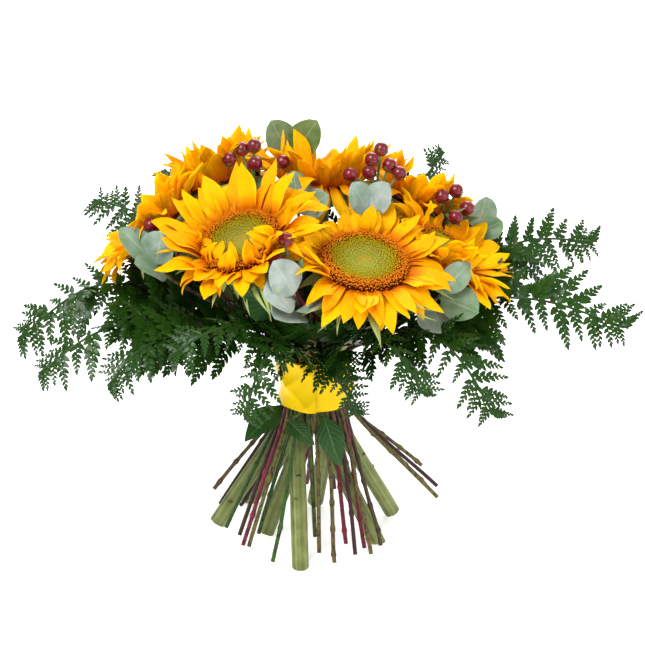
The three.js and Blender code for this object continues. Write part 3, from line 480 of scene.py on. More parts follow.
# %% Eucalyptus and small leaves
silver_leaf, add, shader = start_finish("bloomed leaf", Roughness=0.6, Specular_IOR_Level=0.2)
place = add("TexCoord", out="Object")
tone, across = (add("Attribute", attribute_name=name, out="Fac") for name in ("tone", "across"))
patches = add("TexNoise", {"Vector": place, "Scale": 110.0, "Detail": 4.0})
bloom = add("MapRange", {0: patches, 1: 0.35, 2: 0.7})
silver = add("Mix", {0: bloom, 6: linear(0x84968C), 7: linear(0xA8B2B0)}, **MIX)
dull = add("Mix", {0: bloom, 6: linear(0x5E7A56), 7: linear(0x7E9080)}, **MIX)
olive = add("Mix", {0: bloom, 6: linear(0x48641C), 7: linear(0x6A8038)}, **MIX)
less = add("MapRange", {0: tone, 1: 0.0, 2: 0.5})
least = add("MapRange", {0: tone, 1: 0.5, 2: 1.0})
colour = add("Mix", {0: less, 6: silver, 7: dull}, **MIX)
colour = add("Mix", {0: least, 6: colour, 7: olive}, **MIX)
rib = add("Math", {0: across}, operation="ABSOLUTE")
rib_share = add("MapRange", {0: rib, 1: 0.0, 2: 0.06, 3: 0.3, 4: 0.0})
add("Mix", {0: rib_share, 6: colour, 7: linear(0xBFCBB0)}, into=shader["Base Color"], **MIX)
add("Bump", {"Height": patches, "Strength": 0.25, "Distance": 0.0006}, into=shader["Normal"])

# %% [markdown]
# The broad leaves are dark and satin. Their side veins leave the rib at a slant every 4 mm, a little
# paler than the blade, and sink into it.

# %% Broad leaves
dark_leaf, add, shader = start_finish("broad leaf", Roughness=0.35, Specular_IOR_Level=0.25)
place = add("TexCoord", out="Object")
across, along = (add("Attribute", attribute_name=name, out="Fac") for name in ("across", "along"))
rib = add("Math", {0: across}, operation="ABSOLUTE")
slant = add("Math", {0: rib, 1: -0.3, 2: along}, operation="MULTIPLY_ADD")
slant = add("Math", {0: slant, 1: 50.0}, operation="MULTIPLY")
vein = add("Math", {0: slant}, operation="SINE")
vein_share = add("MapRange", {0: vein, 1: 0.6, 2: 1.0, 3: 0.0, 4: 0.1})
rib_share = add("MapRange", {0: rib, 1: 0.0, 2: 0.07, 3: 0.35, 4: 0.0})
cloud = add("TexNoise", {"Vector": place, "Scale": 70.0, "Detail": 3.0})
green = add("Mix", {0: cloud, 6: linear(0x1A3A14), 7: linear(0x2C5420)}, **MIX)
green = add("Mix", {0: vein_share, 6: green, 7: linear(0x4A7A3A)}, **MIX)
add("Mix", {0: rib_share, 6: green, 7: linear(0x7FA457)}, into=shader["Base Color"], **MIX)
add("Bump", {"Height": vein, "Strength": 0.3, "Distance": 0.0004}, into=shader["Normal"], invert=True)

# %% [markdown]
# A ripe hypericum berry is hard, smooth and very glossy, wine red with an orange flush next to its
# sepals. A coat gives it the sharp white highlight.

# %% Berries
berry_skin, add, shader = start_finish(
    "hypericum berry", Roughness=0.25, Specular_IOR_Level=0.2, Coat_Weight=0.45, Coat_Roughness=0.06)
along = add("Attribute", attribute_name="along", out="Fac")
place = add("TexCoord", out="Object")
flush = add("MapRange", {0: along, 1: 0.05, 2: 0.4}, interpolation_type="SMOOTHSTEP")
cloud = add("TexNoise", {"Vector": place, "Scale": 150.0})
red = add("Mix", {0: cloud, 6: linear(0x4A0612), 7: linear(0x7C0E1E)}, **MIX)
add("Mix", {0: flush, 6: linear(0xB4402C), 7: red}, into=shader["Base Color"], **MIX)

# %% [markdown]
# Satin is woven polyester whose warp floats over many weft threads, so light slides along it. Its
# threads are about 0.2 mm apart, too fine for the picture, so the bump draws them 1 mm apart.

# %% Ribbon
satin, add, shader = start_finish("woven polyester satin", Roughness=0.3, Specular_IOR_Level=0.08)
place = add("TexCoord", out="Object")
weft = add("TexWave", {"Vector": place, "Scale": 320.0, "Distortion": 0.4}, out="Fac", bands_direction="Z")
sway = add("TexNoise", {"Vector": place, "Scale": 60.0})
add("Mix", {0: sway, 6: linear(0xD6AA00), 7: linear(0xECCC00)}, into=shader["Base Color"], **MIX)
add("Bump", {"Height": weft, "Strength": 0.12, "Distance": 0.0002}, into=shader["Normal"])
print("finishes:", [finish.name for finish in bpy.data.materials if finish.users == 0])

# %% [markdown]
# ## The arrangement
#
# These are the values of the solids' source. A head has a centre, the way it faces (an azimuth and a
# tilt from straight up), the radius of its disc, and the length, rise and spread of its petals. A
# stem has its place in the ring round the tie and its cut end. A frond or a twig has its cut end and
# its route above the tie. A eucalyptus leaf has the share of its twig that it sits on, its tip, the
# way it faces and half its width. Lengths are millimetres from the middle of the tie.

# %% Sunflowers
STEM_RADIUS = 6.2
TWIG_RADIUS = 1.6
STEM_RING = 14.5
TWIG_RING = 22.6
TWIST = 12  # degrees that the bundle turns in half the tie's height
BELOW_TIE = 104  # the height under which thin stems go crooked
PETALS = 20

SUNFLOWERS = [
    {"name": "front_right", "centre": [35, -67, 239], "facing": [-73, 21], "disc": 32.5, "petal": 38,
     "rise": 22, "spread": 8, "short": [20, 0.5], "slot": 8, "foot": [0, 48, 2.7]},
    {"name": "front_left", "centre": [-52, -62, 253], "facing": [-125, 31], "disc": 29.5, "petal": 42,
     "rise": 38, "spread": 8, "short": [205, 0.42], "slot": -52, "foot": [60, 28, 3.4]},
    {"name": "back_middle", "centre": [4, 43, 266], "facing": [95, 8], "disc": 28, "petal": 43,
     "rise": 46, "spread": 14, "slot": None, "foot": [-38, -12, 3.5]},
    {"name": "back_right", "centre": [75, 50, 249], "facing": [24, 27], "disc": 26, "petal": 35,
     "rise": 38, "spread": 12, "slot": 129.5, "foot": [-76, 7, 3.6]},
    {"name": "low_right", "centre": [94, -16, 230], "facing": [-12, 39], "disc": 26, "petal": 36,
     "rise": 36, "spread": 4, "slot": 66, "foot": [-52, 56, 0], "cut": "level"},
    {"name": "far_left", "centre": [-114, -2, 246], "facing": [172, 45], "disc": 27, "petal": 35,
     "rise": 42, "spread": 6, "slot": -112, "foot": [47, -20, 0], "cut": "level"},
    {"name": "back_left", "centre": [-68, 54, 262], "facing": [131, 27], "disc": 28, "petal": 39,
     "rise": 42, "spread": 10, "slot": 180, "foot": [-11, -65, 0], "cut": "level"},
]


def table(columns, rows):
    """The rows of a table by their names, each with its columns by theirs."""
    return {name: dict(zip(columns, row)) for name, row in rows.items()}


FRONDS = table(("foot", "face", "longest", "route"), {
    "fern_right_up": ([30, 50, 12], [-0.1, -0.75, 0.65], 56,
        [[55, 12, 172], [110, 28, 204], [162, 45, 221], [216, 58, 216]]),
    "fern_back_right": ([-3, 66, 6], [0.3, -0.8, 0.5], 44,
        [[30, 50, 180], [60, 85, 225], [84, 103, 252], [101, 118, 270]]),
    "fern_behind_right": ([-56, 32, 14], [0, 0.3, 0.95], 58,
        [[20, 52, 170], [40, 98, 186], [58, 138, 176], [70, 160, 152]]),
    "fern_behind_left": ([-62, 16, 18], [0, 0.3, 0.95], 58,
        [[-22, 48, 170], [-50, 95, 185], [-75, 130, 175], [-92, 152, 152]]),
    "fern_back_left": ([-58, -8, 15], [-0.3, -0.8, 0.5], 46,
        [[-35, 45, 175], [-70, 80, 215], [-100, 100, 242], [-118, 112, 258]]),
    "fern_far_left": ([-68, -22, 12], [0, -0.75, 0.65], 52,
        [[-50, 28, 172], [-95, 55, 208], [-135, 82, 230], [-173, 100, 237]]),
    "fern_left_up": ([-58, -30, 10], [0, -0.65, 0.75], 64,
        [[-60, 0, 175], [-110, -5, 198], [-165, -14, 204], [-220, -26, 168]]),
    "fern_left": ([-50, -39, 4], [-0.1, -0.6, 0.8], 62,
        [[-55, -18, 170], [-110, -35, 187], [-158, -54, 183], [-200, -72, 158]]),
    "fern_left_low": ([-38, -20, 8], [-0.1, -0.5, 0.85], 52,
        [[-50, -34, 168], [-93, -62, 186], [-126, -84, 180], [-148, -97, 158]]),
    "fern_front_left": ([-31, -60, 2], [0, -0.6, 0.8], 52,
        [[-27, -47, 169], [-46, -80, 199], [-74, -104, 202], [-102, -116, 188]]),
    "fern_front_hanging": ([4, -54, 6], [-0.1, -0.6, 0.8], 46,
        [[-12, -50, 166], [-24, -84, 188], [-40, -108, 172], [-50, -112, 138]]),
    "fern_over_ribbon": ([31, -52, 4], [-0.1, -0.8, 0.55], 32,
        [[4, -42, 164], [12, -60, 158], [22, -66, 142], [32, -66, 122]]),
    "fern_front_right": ([94, -10, 32], [0.1, -0.5, 0.87], 54,
        [[16, -48, 168], [38, -84, 194], [60, -110, 186], [78, -122, 160]]),
    "fern_right_low": ([93, 5, 35], [0.2, -0.5, 0.85], 60,
        [[42, -32, 168], [78, -62, 190], [105, -90, 174], [129, -107, 138]]),
    "fern_right": ([40, 40, 21], [0, -0.65, 0.75], 68,
        [[58, -4, 168], [105, -8, 190], [165, -20, 196], [231, -32, 178]]),
})

HYPERICUM = table(("foot", "route", "berries", "leaves"), {
    "hypericum_middle": ([-20, 64, 6], [[23, 14, 167], [34, 10, 195], [43, 5, 250], [44, 6, 278]],
        [[26, -2, 287], [40, 4, 287], [42, 10, 295], [55, 12, 290], [49, 20, 300], [62, 8, 285]],
        [[30, 12, 270], [58, -4, 276]]),
    "hypericum_right": ([-16, 62, 10], [[52, 22, 180], [88, 27, 226], [99, 25, 246]],
        [[94, 12, 266], [105, 20, 268], [113, 12, 257], [104, 2, 253], [92, 22, 256], [115, 24, 247]],
        [[112, -2, 262], [84, 6, 258], [124, 12, 250]]),
    "hypericum_left": ([-40, -45, 6], [[-30, 2, 170], [-38, 8, 196], [-46, 12, 250], [-48, 13, 276]],
        [[-54, 24, 299], [-63, 17, 293], [-45, 22, 302], [-44, 10, 292], [-52, 6, 284], [-24, 14, 292]],
        [[-60, 4, 288], [-30, 24, 282]]),
    "hypericum_far_left": ([20, -25, 5], [[-56, -20, 190], [-94, -40, 228], [-104, -38, 250]],
        [[-106, -43, 262], [-118, -43, 261], [-121, -54, 257], [-109, -55, 256]],
        [[-98, -46, 262]]),
    "hypericum_front": ([38, -42, 5], [[-2, -52, 188], [-12, -84, 222], [-18, -95, 244]],
        [[-20, -92, 266], [-32, -98, 259], [-11, -99, 257]],
        [[-24, -106, 250], [-4, -92, 250]]),
})

EUCALYPTUS = table(("foot", "route", "leaves"), {
    "eucalyptus_right_back": ([15, 62, 8], [[60, 34, 178], [112, 32, 222], [122, 30, 236]],
        [(1, [128, 26, 262], [0.5, -0.7, 0.5], 13), (0.97, [142, 40, 238], [0.3, -0.6, 0.7], 11)]),
    "eucalyptus_top": ([-58, 24, 10], [[-18, 46, 184], [-28, 84, 232], [-18, 88, 276]],
        [(1, [-34, 84, 305], [0.1, -0.8, 0.5], 13), (1, [2, 80, 306], [0.1, -0.8, 0.6], 13)]),
    "eucalyptus_centre": ([50, -44, 8], [[-4, -24, 176], [-12, -8, 230], [-12, -4, 260]],
        [(1, [-16, 6, 288], [0.1, -0.7, 0.7], 11.5), (1, [10, -10, 274], [-0.1, -0.8, 0.6], 11.5)]),
    "eucalyptus_left_back": ([-76, -20, 44], [[-44, 30, 180], [-88, 78, 226], [-96, 84, 244]],
        [(1, [-74, 92, 268], [0, -0.8, 0.6], 12), (1, [-108, 70, 268], [-0.4, -0.6, 0.6], 9),
         (0.95, [-126, 82, 246], [-0.4, -0.5, 0.7], 9)]),
    "eucalyptus_far_left": ([14, -62, 2], [[-56, -34, 188], [-104, -58, 226], [-116, -60, 238]],
        [(1, [-140, -52, 262], [0.5, -0.5, 0.7], 14), (1, [-108, -66, 264], [-0.3, -0.8, 0.5], 14),
         (0.95, [-128, -78, 244], [0, -0.5, 0.85], 13)]),
    "eucalyptus_front": ([43, -50, 3], [[-2, -56, 186], [-10, -88, 212], [-14, -100, 228]],
        [(1, [-29, -105, 255], [0, -0.7, 0.7], 13.5), (0.972, [-36, -118, 235], [0.1, -0.7, 0.7], 14),
         (0.94, [6, -114, 223], [0.2, -0.6, 0.75], 11), (0.9, [-28, -119, 217], [0, -0.6, 0.8], 14.5)]),
    "eucalyptus_right": ([80, 10, 25], [[44, -22, 176], [84, -50, 204], [92, -56, 214]],
        [(1, [112, -52, 236], [0.1, -0.8, 0.6], 10), (0.98, [118, -66, 202], [0.3, -0.7, 0.6], 15),
         (0.95, [92, -76, 190], [0, -0.85, 0.5], 15), (0.9, [74, -72, 204], [-0.2, -0.7, 0.7], 12)]),
    "eucalyptus_middle": ([83, 30, 42], [[27, -12, 166], [27, -12, 195], [38, -14, 240], [40, -15, 262]],
        [(1, [27, -18, 286], [0.3, -0.8, 0.5], 11), (1, [54, -20, 286], [-0.3, -0.7, 0.6], 12),
         (0.93, [46, -38, 266], [0.1, -0.6, 0.8], 10)]),
})

BROAD_LEAVES = table(("hangs", "foot", "route", "tip", "face", "half"), {
    "broad_leaf_left": (True, [-27, -12, 106], [], [-53, -34, 88], [-0.3, -0.75, 0.55], 11),
    "broad_leaf_low": (False, [0, -42, 14], [[-18, -35, 158], [-20, -50, 176], [-30, -78, 206]],
        [-52, -102, 236], [-0.2, -0.8, 0.6], 13),
    "broad_leaf_middle": (True, [-9, -29, 103], [], [0, -43, 89], [0, -0.8, 0.6], 7),
    "broad_leaf_right": (True, [10, -28, 106], [], [19, -45, 72], [0.1, -0.9, 0.4], 10),
})

RING_ORDER = [
    "fern_right", "eucalyptus_right", "eucalyptus_middle", "fern_right_up", "eucalyptus_right_back",
    "hypericum_right", "hypericum_middle", "fern_back_right", "fern_behind_right", "eucalyptus_top",
    "fern_behind_left", "fern_back_left", "eucalyptus_left_back", "fern_far_left", "fern_left_up",
    "broad_leaf_left", "hypericum_left", "fern_left", "fern_left_low", "fern_front_left",
    "broad_leaf_middle", "broad_leaf_low", "fern_front_hanging", "broad_leaf_right", "eucalyptus_far_left",
    "hypericum_far_left", "fern_over_ribbon", "eucalyptus_front", "hypericum_front", "eucalyptus_centre",
    "fern_front_right", "fern_right_low",
]
print("sunflowers", len(SUNFLOWERS), "fronds", len(FRONDS), "sprays", len(HYPERICUM) + len(EUCALYPTUS))


# %% Stems through the tie
def polar(azimuth, radius, height):
    """The point at an azimuth in degrees: radius cos, radius sin, height."""
    return np.array([radius * np.cos(np.radians(azimuth)), radius * np.sin(np.radians(azimuth)), height])


def tie_points(slot, radius):
    """Where a stem of the spiral passes the lower edge, the middle and the upper edge of the tie."""
    return [polar(slot - TWIST * edge, radius + 0.4 * abs(edge), WAIST + edge * RIBBON_HEIGHT / 2)
            for edge in (-1, 0, 1)]


def turned(point, degrees):
    """A point turned about the upright axis by each of some angles."""
    turn = np.radians(degrees)
    x, y, z = point
    x, y = x * np.cos(turn) - y * np.sin(turn), x * np.sin(turn) + y * np.cos(turn)
    return np.stack([x, y, z + 0 * turn], -1)


REACHES, FOOT_TURNS = grid_of([1, 0.88, 1.14, 0.72, 1.3],
                              [0, 6, -6, 12, -12, 20, -20, 30, -30, 42, -42, 55, -55])
SHOULDER_TURNS = np.array([0, 8, -8, 16, -16, 26, -26, 38, -38.0])


def twig_path(name, twig):
    """The path of a thin stem. Of the turns that its foot and its shoulder may have in the solids, it
    takes those with the solid's corners close round them."""
    corners = corners_of(name)
    feet = turned(twig["foot"], FOOT_TURNS) * np.stack([REACHES, REACHES, 1 + 0 * REACHES], -1)
    slot = 8 + 360 / len(RING_ORDER) * RING_ORDER.index(name)
    points = [nearest_of(feet, corners, 4), *tie_points(slot, TWIG_RING)]
    if twig["route"]:
        shoulder, *further = twig["route"]
        points += [nearest_of(turned(shoulder, SHOULDER_TURNS), corners, 3), *further]
    return curve_points(points)


def tapered(path, count, first, last):
    """A path again with count even stations, and a radius that goes evenly from first to last."""
    return along_path(path, np.linspace(0, 1, count))[0], np.linspace(first, last, count)


def knotted(path, first, last, gap):
    """A tapered path with a knot about every gap mm. The radius swells there by 0.45 times
    exp(-(distance / 1.8) ** 2), and below the tie the twig goes from knot to knot at slightly other
    slants, up to 1 mm to the side."""
    path, radius = tapered(path, 150, first, last)
    far = np.append(0, np.cumsum(np.linalg.norm(np.diff(path, axis=0), axis=1)))
    knots = np.arange(0.5 * gap, far[-1] - 4, gap) + rng.uniform(-0.25, 0.25) * gap
    near = np.exp(-(((far[:, None] - knots) / 1.8) ** 2)).sum(axis=1)
    aside = rng.uniform(-1, 1, (2, len(knots) + 2))
    slants = np.stack([np.interp(far, [0, *knots, far[-1]], row) for row in aside] + [0 * far], 1)
    return path + slants * np.clip((BELOW_TIE - path[:, 2:]) / 15, 0, 1), radius * (1 + 0.45 * near)


def head_frame(head):
    """The middle of a head, the way it looks, the way up on its face, and the way square to both."""
    azimuth, tilt = head["facing"]
    out = polar(azimuth, np.sin(np.radians(tilt)), np.cos(np.radians(tilt)))
    top = square_to(UP, out)
    return np.array(head["centre"], float), out, top, np.cross(out, top)


UP = np.array([0, 0, 1.0])
rng = np.random.default_rng(7)

# %% [markdown]
# ## Sunflower stems
#
# The stem is a ribbed tube from its cut end through the tie to the back of the head. There it opens
# into the receptacle, a shallow green bowl, and leafy green bracts with curled points stand round
# it in rows. The bowl is a profile turned round the head's axis. Stems that reach the table are cut
# level with it, and the others are cut square.


# %% Grow the sunflower stems
STEM_SIDES = 24
NECK = 53  # mm behind a head, where its stem starts to bend
STEM_END = 15  # mm behind it, inside the bowl
SCARS = 4
BOWL_SIDES = 36
BOWL_RIM = 28  # mm, the radius of the rim that BOWL draws
BRACTS = 5  # on the solid
BRACT_LENGTH = 24
BRACT_BEND = -40.0  # degrees that the solid's bracts bend from root to tip
CURLING_BRACTS = 9


def sunflower_path(head):
    """From the cut end through the tie, then in a bend to the middle of the head's back."""
    centre, out, _, _ = head_frame(head)
    if head["slot"] is None:
        tie = [np.array([0, -0.75 * (1 + edge), WAIST + edge * RIBBON_HEIGHT / 2]) for edge in (-1, 0, 1)]
    else:
        tie = tie_points(head["slot"], STEM_RING)
    neck = 0.88 * (centre - NECK * out) + 0.12 * tie[2]
    return curve_points([head["foot"], *tie, neck, centre - STEM_END * out])


def add_ribbed_stem(skins, path, level):
    """Radius R (1 + 0.025 cos(6 v + 5 share)) round the path. The first ring, at 0.8 R, closes the
    cut, and its middle is pith. A level cut moves the first two rings along the stem to height 0.
    Each side gets a streak of its own."""
    shares = np.concatenate([[0, 0.0002], np.linspace(0.035, 1, 60)])
    centres, ways = along_path(path, shares)
    across = square_to(np.broadcast_to([1.0, 0, 0], ways.shape), ways)
    v = 2 * np.pi * np.arange(STEM_SIDES) / STEM_SIDES
    radius = STEM_RADIUS * (1 + 0.025 * np.cos(6 * v[None] + 5 * shares[:, None]))
    radius[0] *= 0.8
    rings = centres[:, None] + radius[..., None] * way_at(across[:, None], np.cross(ways, across)[:, None], v)
    start = centres[0].copy()
    if level:
        rings[:2] -= rings[:2, :, 2:] / ways[0, 2] * ways[0]
        start -= start[2] / ways[0, 2] * ways[0]
    rings[..., 2] = np.maximum(rings[..., 2], 0)
    streaks = rng.uniform(-1, 1, STEM_SIDES)
    skins.add(rings[None], start[None], centres[-1:], stem_skin, cap=cut_pith, across=streaks)


def add_scars(skins, path):
    """Where a leaf was broken off, a brown oval stands out: an ellipse 2.2 mm by 1.3 mm carried 1.2 mm
    outwards while it shrinks. They lie at random heights between the cut and the tie."""
    heights = rng.uniform(10, 100, SCARS)
    for height, azimuth in zip(heights, rng.uniform(0, 360, SCARS)):
        middle = path[np.abs(path[:, 2] - height).argmin()]
        out = polar(azimuth, 1, 0.2)
        oval = circle_of(2.2 * polar(azimuth + 90, 1, 0), 1.3 * UP, 10)
        shares = np.array([1.0, 0.85, 0.4])[:, None, None]
        rings = middle + np.array([5.2, 6.5, 6.9])[:, None, None] * out + shares * oval
        skins.add(rings[None], (middle + 5 * out)[None], (middle + 6.8 * out)[None], twig_bark, tone=0.6)


BOWL = [(-19, 6.2), (-18, 7.2), (-17, 8.6), (-14.5, 13), (-11.5, 19), (-8, 24), (-5, 27), (-2.5, 28.4),
        (-1.7, 28)]


def add_bowl(skins, head):
    """The profile (height, radius) turned round the head's axis. Above the stem its radii are scaled
    so that the rim stands 2 mm outside the disc."""
    centre, out, top, across = head_frame(head)
    heights, radii = np.array(BOWL, float).T
    radii = np.where(heights < -17.5, radii, radii * (head["disc"] + 2) / BOWL_RIM)
    ring = circle_of(top, across, BOWL_SIDES)
    rings = centre + heights[:, None, None] * out + radii[:, None, None] * ring
    back, front = (centre + height * out for height in heights[[0, -1]])
    skins.add(rings[None], back[None], front[None], stem_skin)


BRACT = [(0, 0.5), (0.2, 0.95), (0.45, 1.0), (0.7, 0.6), (0.88, 0.22), (1, 0)]


def bracts_of(head, corners):
    """The bracts that the solid has, with the bends found from it, and three more between each two.
    A front head has some long thin ones too, which curl out under its lowest petals."""
    centre, out, top, across = head_frame(head)
    rows = []
    for i in np.arange(0, BRACTS, 0.25):
        way = way_at(top, across, 2 * np.pi * (i + 0.25) / BRACTS)
        root = centre + 0.8 * head["disc"] * way - 6 * out
        found = None
        if i % 1 == 0:
            tried = blade_of(root, way, out, BRACT_LENGTH * SCALES, -6 + BENDS / 2, BRACT_BEND)
            found = bend_of(tried, corners, HEAD_TRIES)
        scale, bent = found or (rng.uniform(0.55, 0.85), rng.uniform(-20, 5))
        bend = BRACT_BEND - 25 * (i % 1 > 0)
        rows.append((root, way, out, BRACT_LENGTH * scale, -6 + bent / 2, bend, 4.6 * scale + 0.6, 0))
    if "front" in head["name"]:
        for a in rng.uniform(2.0, 4.3, CURLING_BRACTS):
            way = way_at(top, across, a)
            root = centre + head["disc"] * way - 4 * out
            ranges = ((30, 42), (-14, 12), (-70, 30), (1.6, 2.6), (-0.35, 0.35))
            rows.append((root, way, out, *(rng.uniform(*limits) for limits in ranges)))
    root, way, up, length, lift, bend, half, sway = (np.array(column) for column in zip(*rows))
    return blade_of(root, way, up, length, lift, bend, half=half, cup=0.12, sway=sway)


for head in SUNFLOWERS:
    name = f"sunflower_{head['name']}_stem"
    skins = Skins()
    add_ribbed_stem(skins, sunflower_path(head), head.get("cut") == "level")
    add_scars(skins, sunflower_path(head))
    add_bowl(skins, head)
    add_blades(skins, bracts_of(head, corners_of(name)), BRACT, stem_skin, 8, 8, 0.9, tone=0.85)
    skins.make(name)
print("sunflower stems:", sum(count for _, count in made), "triangles")

# %% [markdown]
# ## Petals
#
# A sunflower has some fifty ray petals in two rows. Each one is a pointed strap, cupped across,
# pleated along its veins, and a little twisted. The solids have twenty: each of those is found again
# by its bend, a narrower petal grows between each two, and twenty more curl as they please. On the
# left front head some short petals curl in over the disc, as on a flower not yet fully open, and on
# the middle head at the back some hang down in front.

# %% Grow the petals
WILD_PETALS = 20  # that curl as they please
MORE = 15  # petals on each head of MORE_PETALS
LOWER, UPPER = -12, 10  # degrees that the petals of the two rows lift, from the head's rise
PETAL_BEND = -26.0  # degrees that the solid's petals bend from root to tip
PETAL_HALF = 8.7  # mm, half the width of a whole petal
PETAL = [(0, 0.5), (0.1, 0.66), (0.28, 0.9), (0.46, 1), (0.62, 0.95), (0.76, 0.72), (0.88, 0.4),
         (0.95, 0.17), (1, 0)]
# The first and last way round the head, and the ranges of length, lift, bend and half width.
MORE_PETALS = {
    "front_left": ((112, 285), (13, 24), (75, 130), (20, 90), (2.8, 4.8)),
    "back_middle": ((-75, 75), (32, 46), (-5, 20), (-120, -70), (4.5, 6.5)),
}


def petal_share(head, a):
    """How much of its full length a petal has towards a: 1, less the head's share times the square
    of cos(a - towards) on that side."""
    towards, share = head.get("short", (0, 0))
    return 1 - share * np.maximum(0, np.cos(a - np.radians(towards))) ** 2


def pleats_for(count):
    """Height along and across a petal: three pleats, an edge that waves, and a twist that grows with
    the square of the share. Each petal has its own phase and size."""
    ranges = ((0, 6.3), (0.8, 2.8), (-6, 6))
    phase, wave, twist = (rng.uniform(low, high, (count, 1, 1)) for low, high in ranges)

    def relief(share, across, width):
        pleat = 0.6 * np.cos(7.5 * across + 0.4 * phase) * np.sqrt(width)
        edge = wave * np.sin(7 * share + phase) * across**2 * width
        return pleat + edge + twist * across * share**2 * width

    return relief


for head in SUNFLOWERS:
    name = f"sunflower_{head['name']}_petals"
    centre, out, top, across = head_frame(head)
    corners = corners_of(name)
    found = np.zeros((PETALS, 2))
    for i in range(PETALS):
        a = 2 * np.pi * i / PETALS
        way = way_at(top, across, a)
        root = centre + (head["disc"] + 2) * way + 0.3 * out
        lift = head["rise"] + (UPPER if i % 2 else LOWER) + head["spread"] * np.cos(a) + BENDS
        full = head["petal"] * petal_share(head, a) * (0.9 if i % 2 else 1)
        tried = blade_of(root, way, out, full * SCALES, lift, PETAL_BEND)
        found[i] = bend_of(tried, corners, HEAD_TRIES) or (0.3, 40)
    i = np.append(np.arange(0, PETALS, 0.5), rng.uniform(0, PETALS, WILD_PETALS))
    between = i % 1 > 0
    wild = np.arange(i.size) >= 2 * PETALS
    scale, bent = (np.interp(i, np.arange(PETALS + 1), np.append(column, column[0])) for column in found.T)
    a = 2 * np.pi * i / PETALS + np.where(between, rng.uniform(-0.04, 0.04, i.size), 0)
    way = way_at(top, across, a)
    upper = np.where(between, 0.5, i % 2)
    root = centre + (head["disc"] + 0.8 - 1.6 * between)[:, None] * way + (0.6 + 0.7 * upper)[:, None] * out
    length = head["petal"] * petal_share(head, a) * scale * (1 - 0.1 * upper)
    length = length * np.where(between, rng.uniform(0.8, 1.0, i.size), 1)
    lift = head["rise"] + LOWER + (UPPER - LOWER) * upper + head["spread"] * np.cos(a) + bent
    lift = lift + between * rng.uniform(-7, 9, i.size)
    curl = np.where(wild, 1, rng.uniform(0, 1, i.size) ** 2.5) * rng.choice([-70, -40, 50], i.size)
    bend = np.where(between, rng.uniform(-44, -14, i.size), rng.uniform(-34, -18, i.size)) + curl
    wide = np.where(between, rng.uniform(0.45, 0.75, i.size), rng.uniform(0.66, 0.88, i.size))
    skins = Skins()
    petals = blade_of(root, way, out, length, lift, bend, half=PETAL_HALF * np.sqrt(scale) * wide,
                      cup=rng.uniform(0.05, 0.4, i.size), sway=rng.uniform(-0.18, 0.18, i.size))
    add_blades(skins, petals, PETAL, ray_petal, 14, 12, 0.7, pleats_for(i.size), rng.uniform(0.1, 1, i.size))
    if head["name"] in MORE_PETALS:
        ways, lengths, lifts, bends, halves = MORE_PETALS[head["name"]]
        way = way_at(top, across, np.radians(np.linspace(*ways, MORE)) + rng.uniform(-0.09, 0.09, MORE))
        root = centre + (head["disc"] - 2) * way + 2 * out
        curled = blade_of(root, way, out, rng.uniform(*lengths, MORE), rng.uniform(*lifts, MORE),
                          rng.uniform(*bends, MORE), half=rng.uniform(*halves, MORE),
                          cup=rng.uniform(-0.4, 0.2, MORE), sway=rng.uniform(-0.3, 0.3, MORE))
        add_blades(skins, curled, PETAL, ray_petal, 12, 12, 0.7, pleats_for(MORE), rng.uniform(0.3, 1, MORE))
    skins.make(name)
print("petals:", made[-1])

# %% [markdown]
# ## Discs
#
# The florets of a disc stand on a low dome, in the spirals of a seed head: each next one is turned
# by the golden angle, 137.508 degrees, and the number inside a circle grows with its area. A closed
# bud is a short blunt peg. The open florets near the rim are longer and lean outwards.

# %% Grow the discs
FLORETS = {True: 2700, False: 1400}  # on the two front heads, and on the others
GOLDEN_ANGLE = np.radians(137.508)
DOME_SIDES = 36


def dome_height(s):
    """5.4 + 2.2 s sin(pi s) mm at the share s of the radius, less 5 mm times the square of the way
    gone through its last 0.12."""
    return (5.4 + 2.2 * s * np.sin(np.pi * s)) - 5.0 * np.clip((s - 0.88) / 0.12, 0, 1) ** 2


for head in SUNFLOWERS:
    centre, out, top, across = head_frame(head)
    skins = Skins()
    s = np.linspace(1, 0.04, 16)
    radii = head["disc"] * np.append(0.94, s)
    heights = np.append(-0.8, dome_height(s) - 0.9)
    ring = circle_of(top, across, DOME_SIDES)
    rings = centre + radii[:, None, None] * ring + heights[:, None, None] * out
    skins.add(rings[None], (centre - 0.8 * out)[None], (centre + heights[-1] * out)[None], floret, tone=1.0)
    florets = FLORETS["front" in head["name"]]
    k = np.arange(florets) + 0.5
    s = 0.975 * np.sqrt(k / florets)
    way = way_at(top, across, GOLDEN_ANGLE * k)
    foot = centre + (head["disc"] * s)[:, None] * way + (dome_height(s) - 1.4)[:, None] * out
    opened = np.clip((s - 0.68) / 0.1, 0, 1)
    lean = unit(out + (-0.25 + 0.5 * opened + rng.uniform(-0.4, 0.4, k.size))[:, None] * way)
    size = (1.7 + 1.5 * opened) * rng.uniform(0.75, 1.25, k.size) * np.where(s < 0.2, 0.8, 1)
    wide = head["disc"] / np.sqrt(florets) * (0.77 + 0.06 * opened)
    side = square_to(way, lean)
    circle = circle_of(side[:, None], np.cross(lean, side)[:, None], 5)
    levels = np.array([0, 0.55, 0.9])
    widths = np.stack([0.75 + 0 * s, 1 + 0 * s, 0.62 + 0.5 * opened], 1) * wide[:, None]
    rings = (foot[:, None, None] + (size[:, None] * levels)[..., None, None] * lean[:, None, None]
             + widths[..., None, None] * circle[:, None])
    peak = foot + (size * (1 - 0.2 * opened))[:, None] * lean
    skins.add(rings, foot, peak, floret, tone=s + rng.uniform(-0.06, 0.06, k.size))
    skins.make(f"sunflower_{head['name']}_disc")
print("florets:", FLORETS, made[-1])

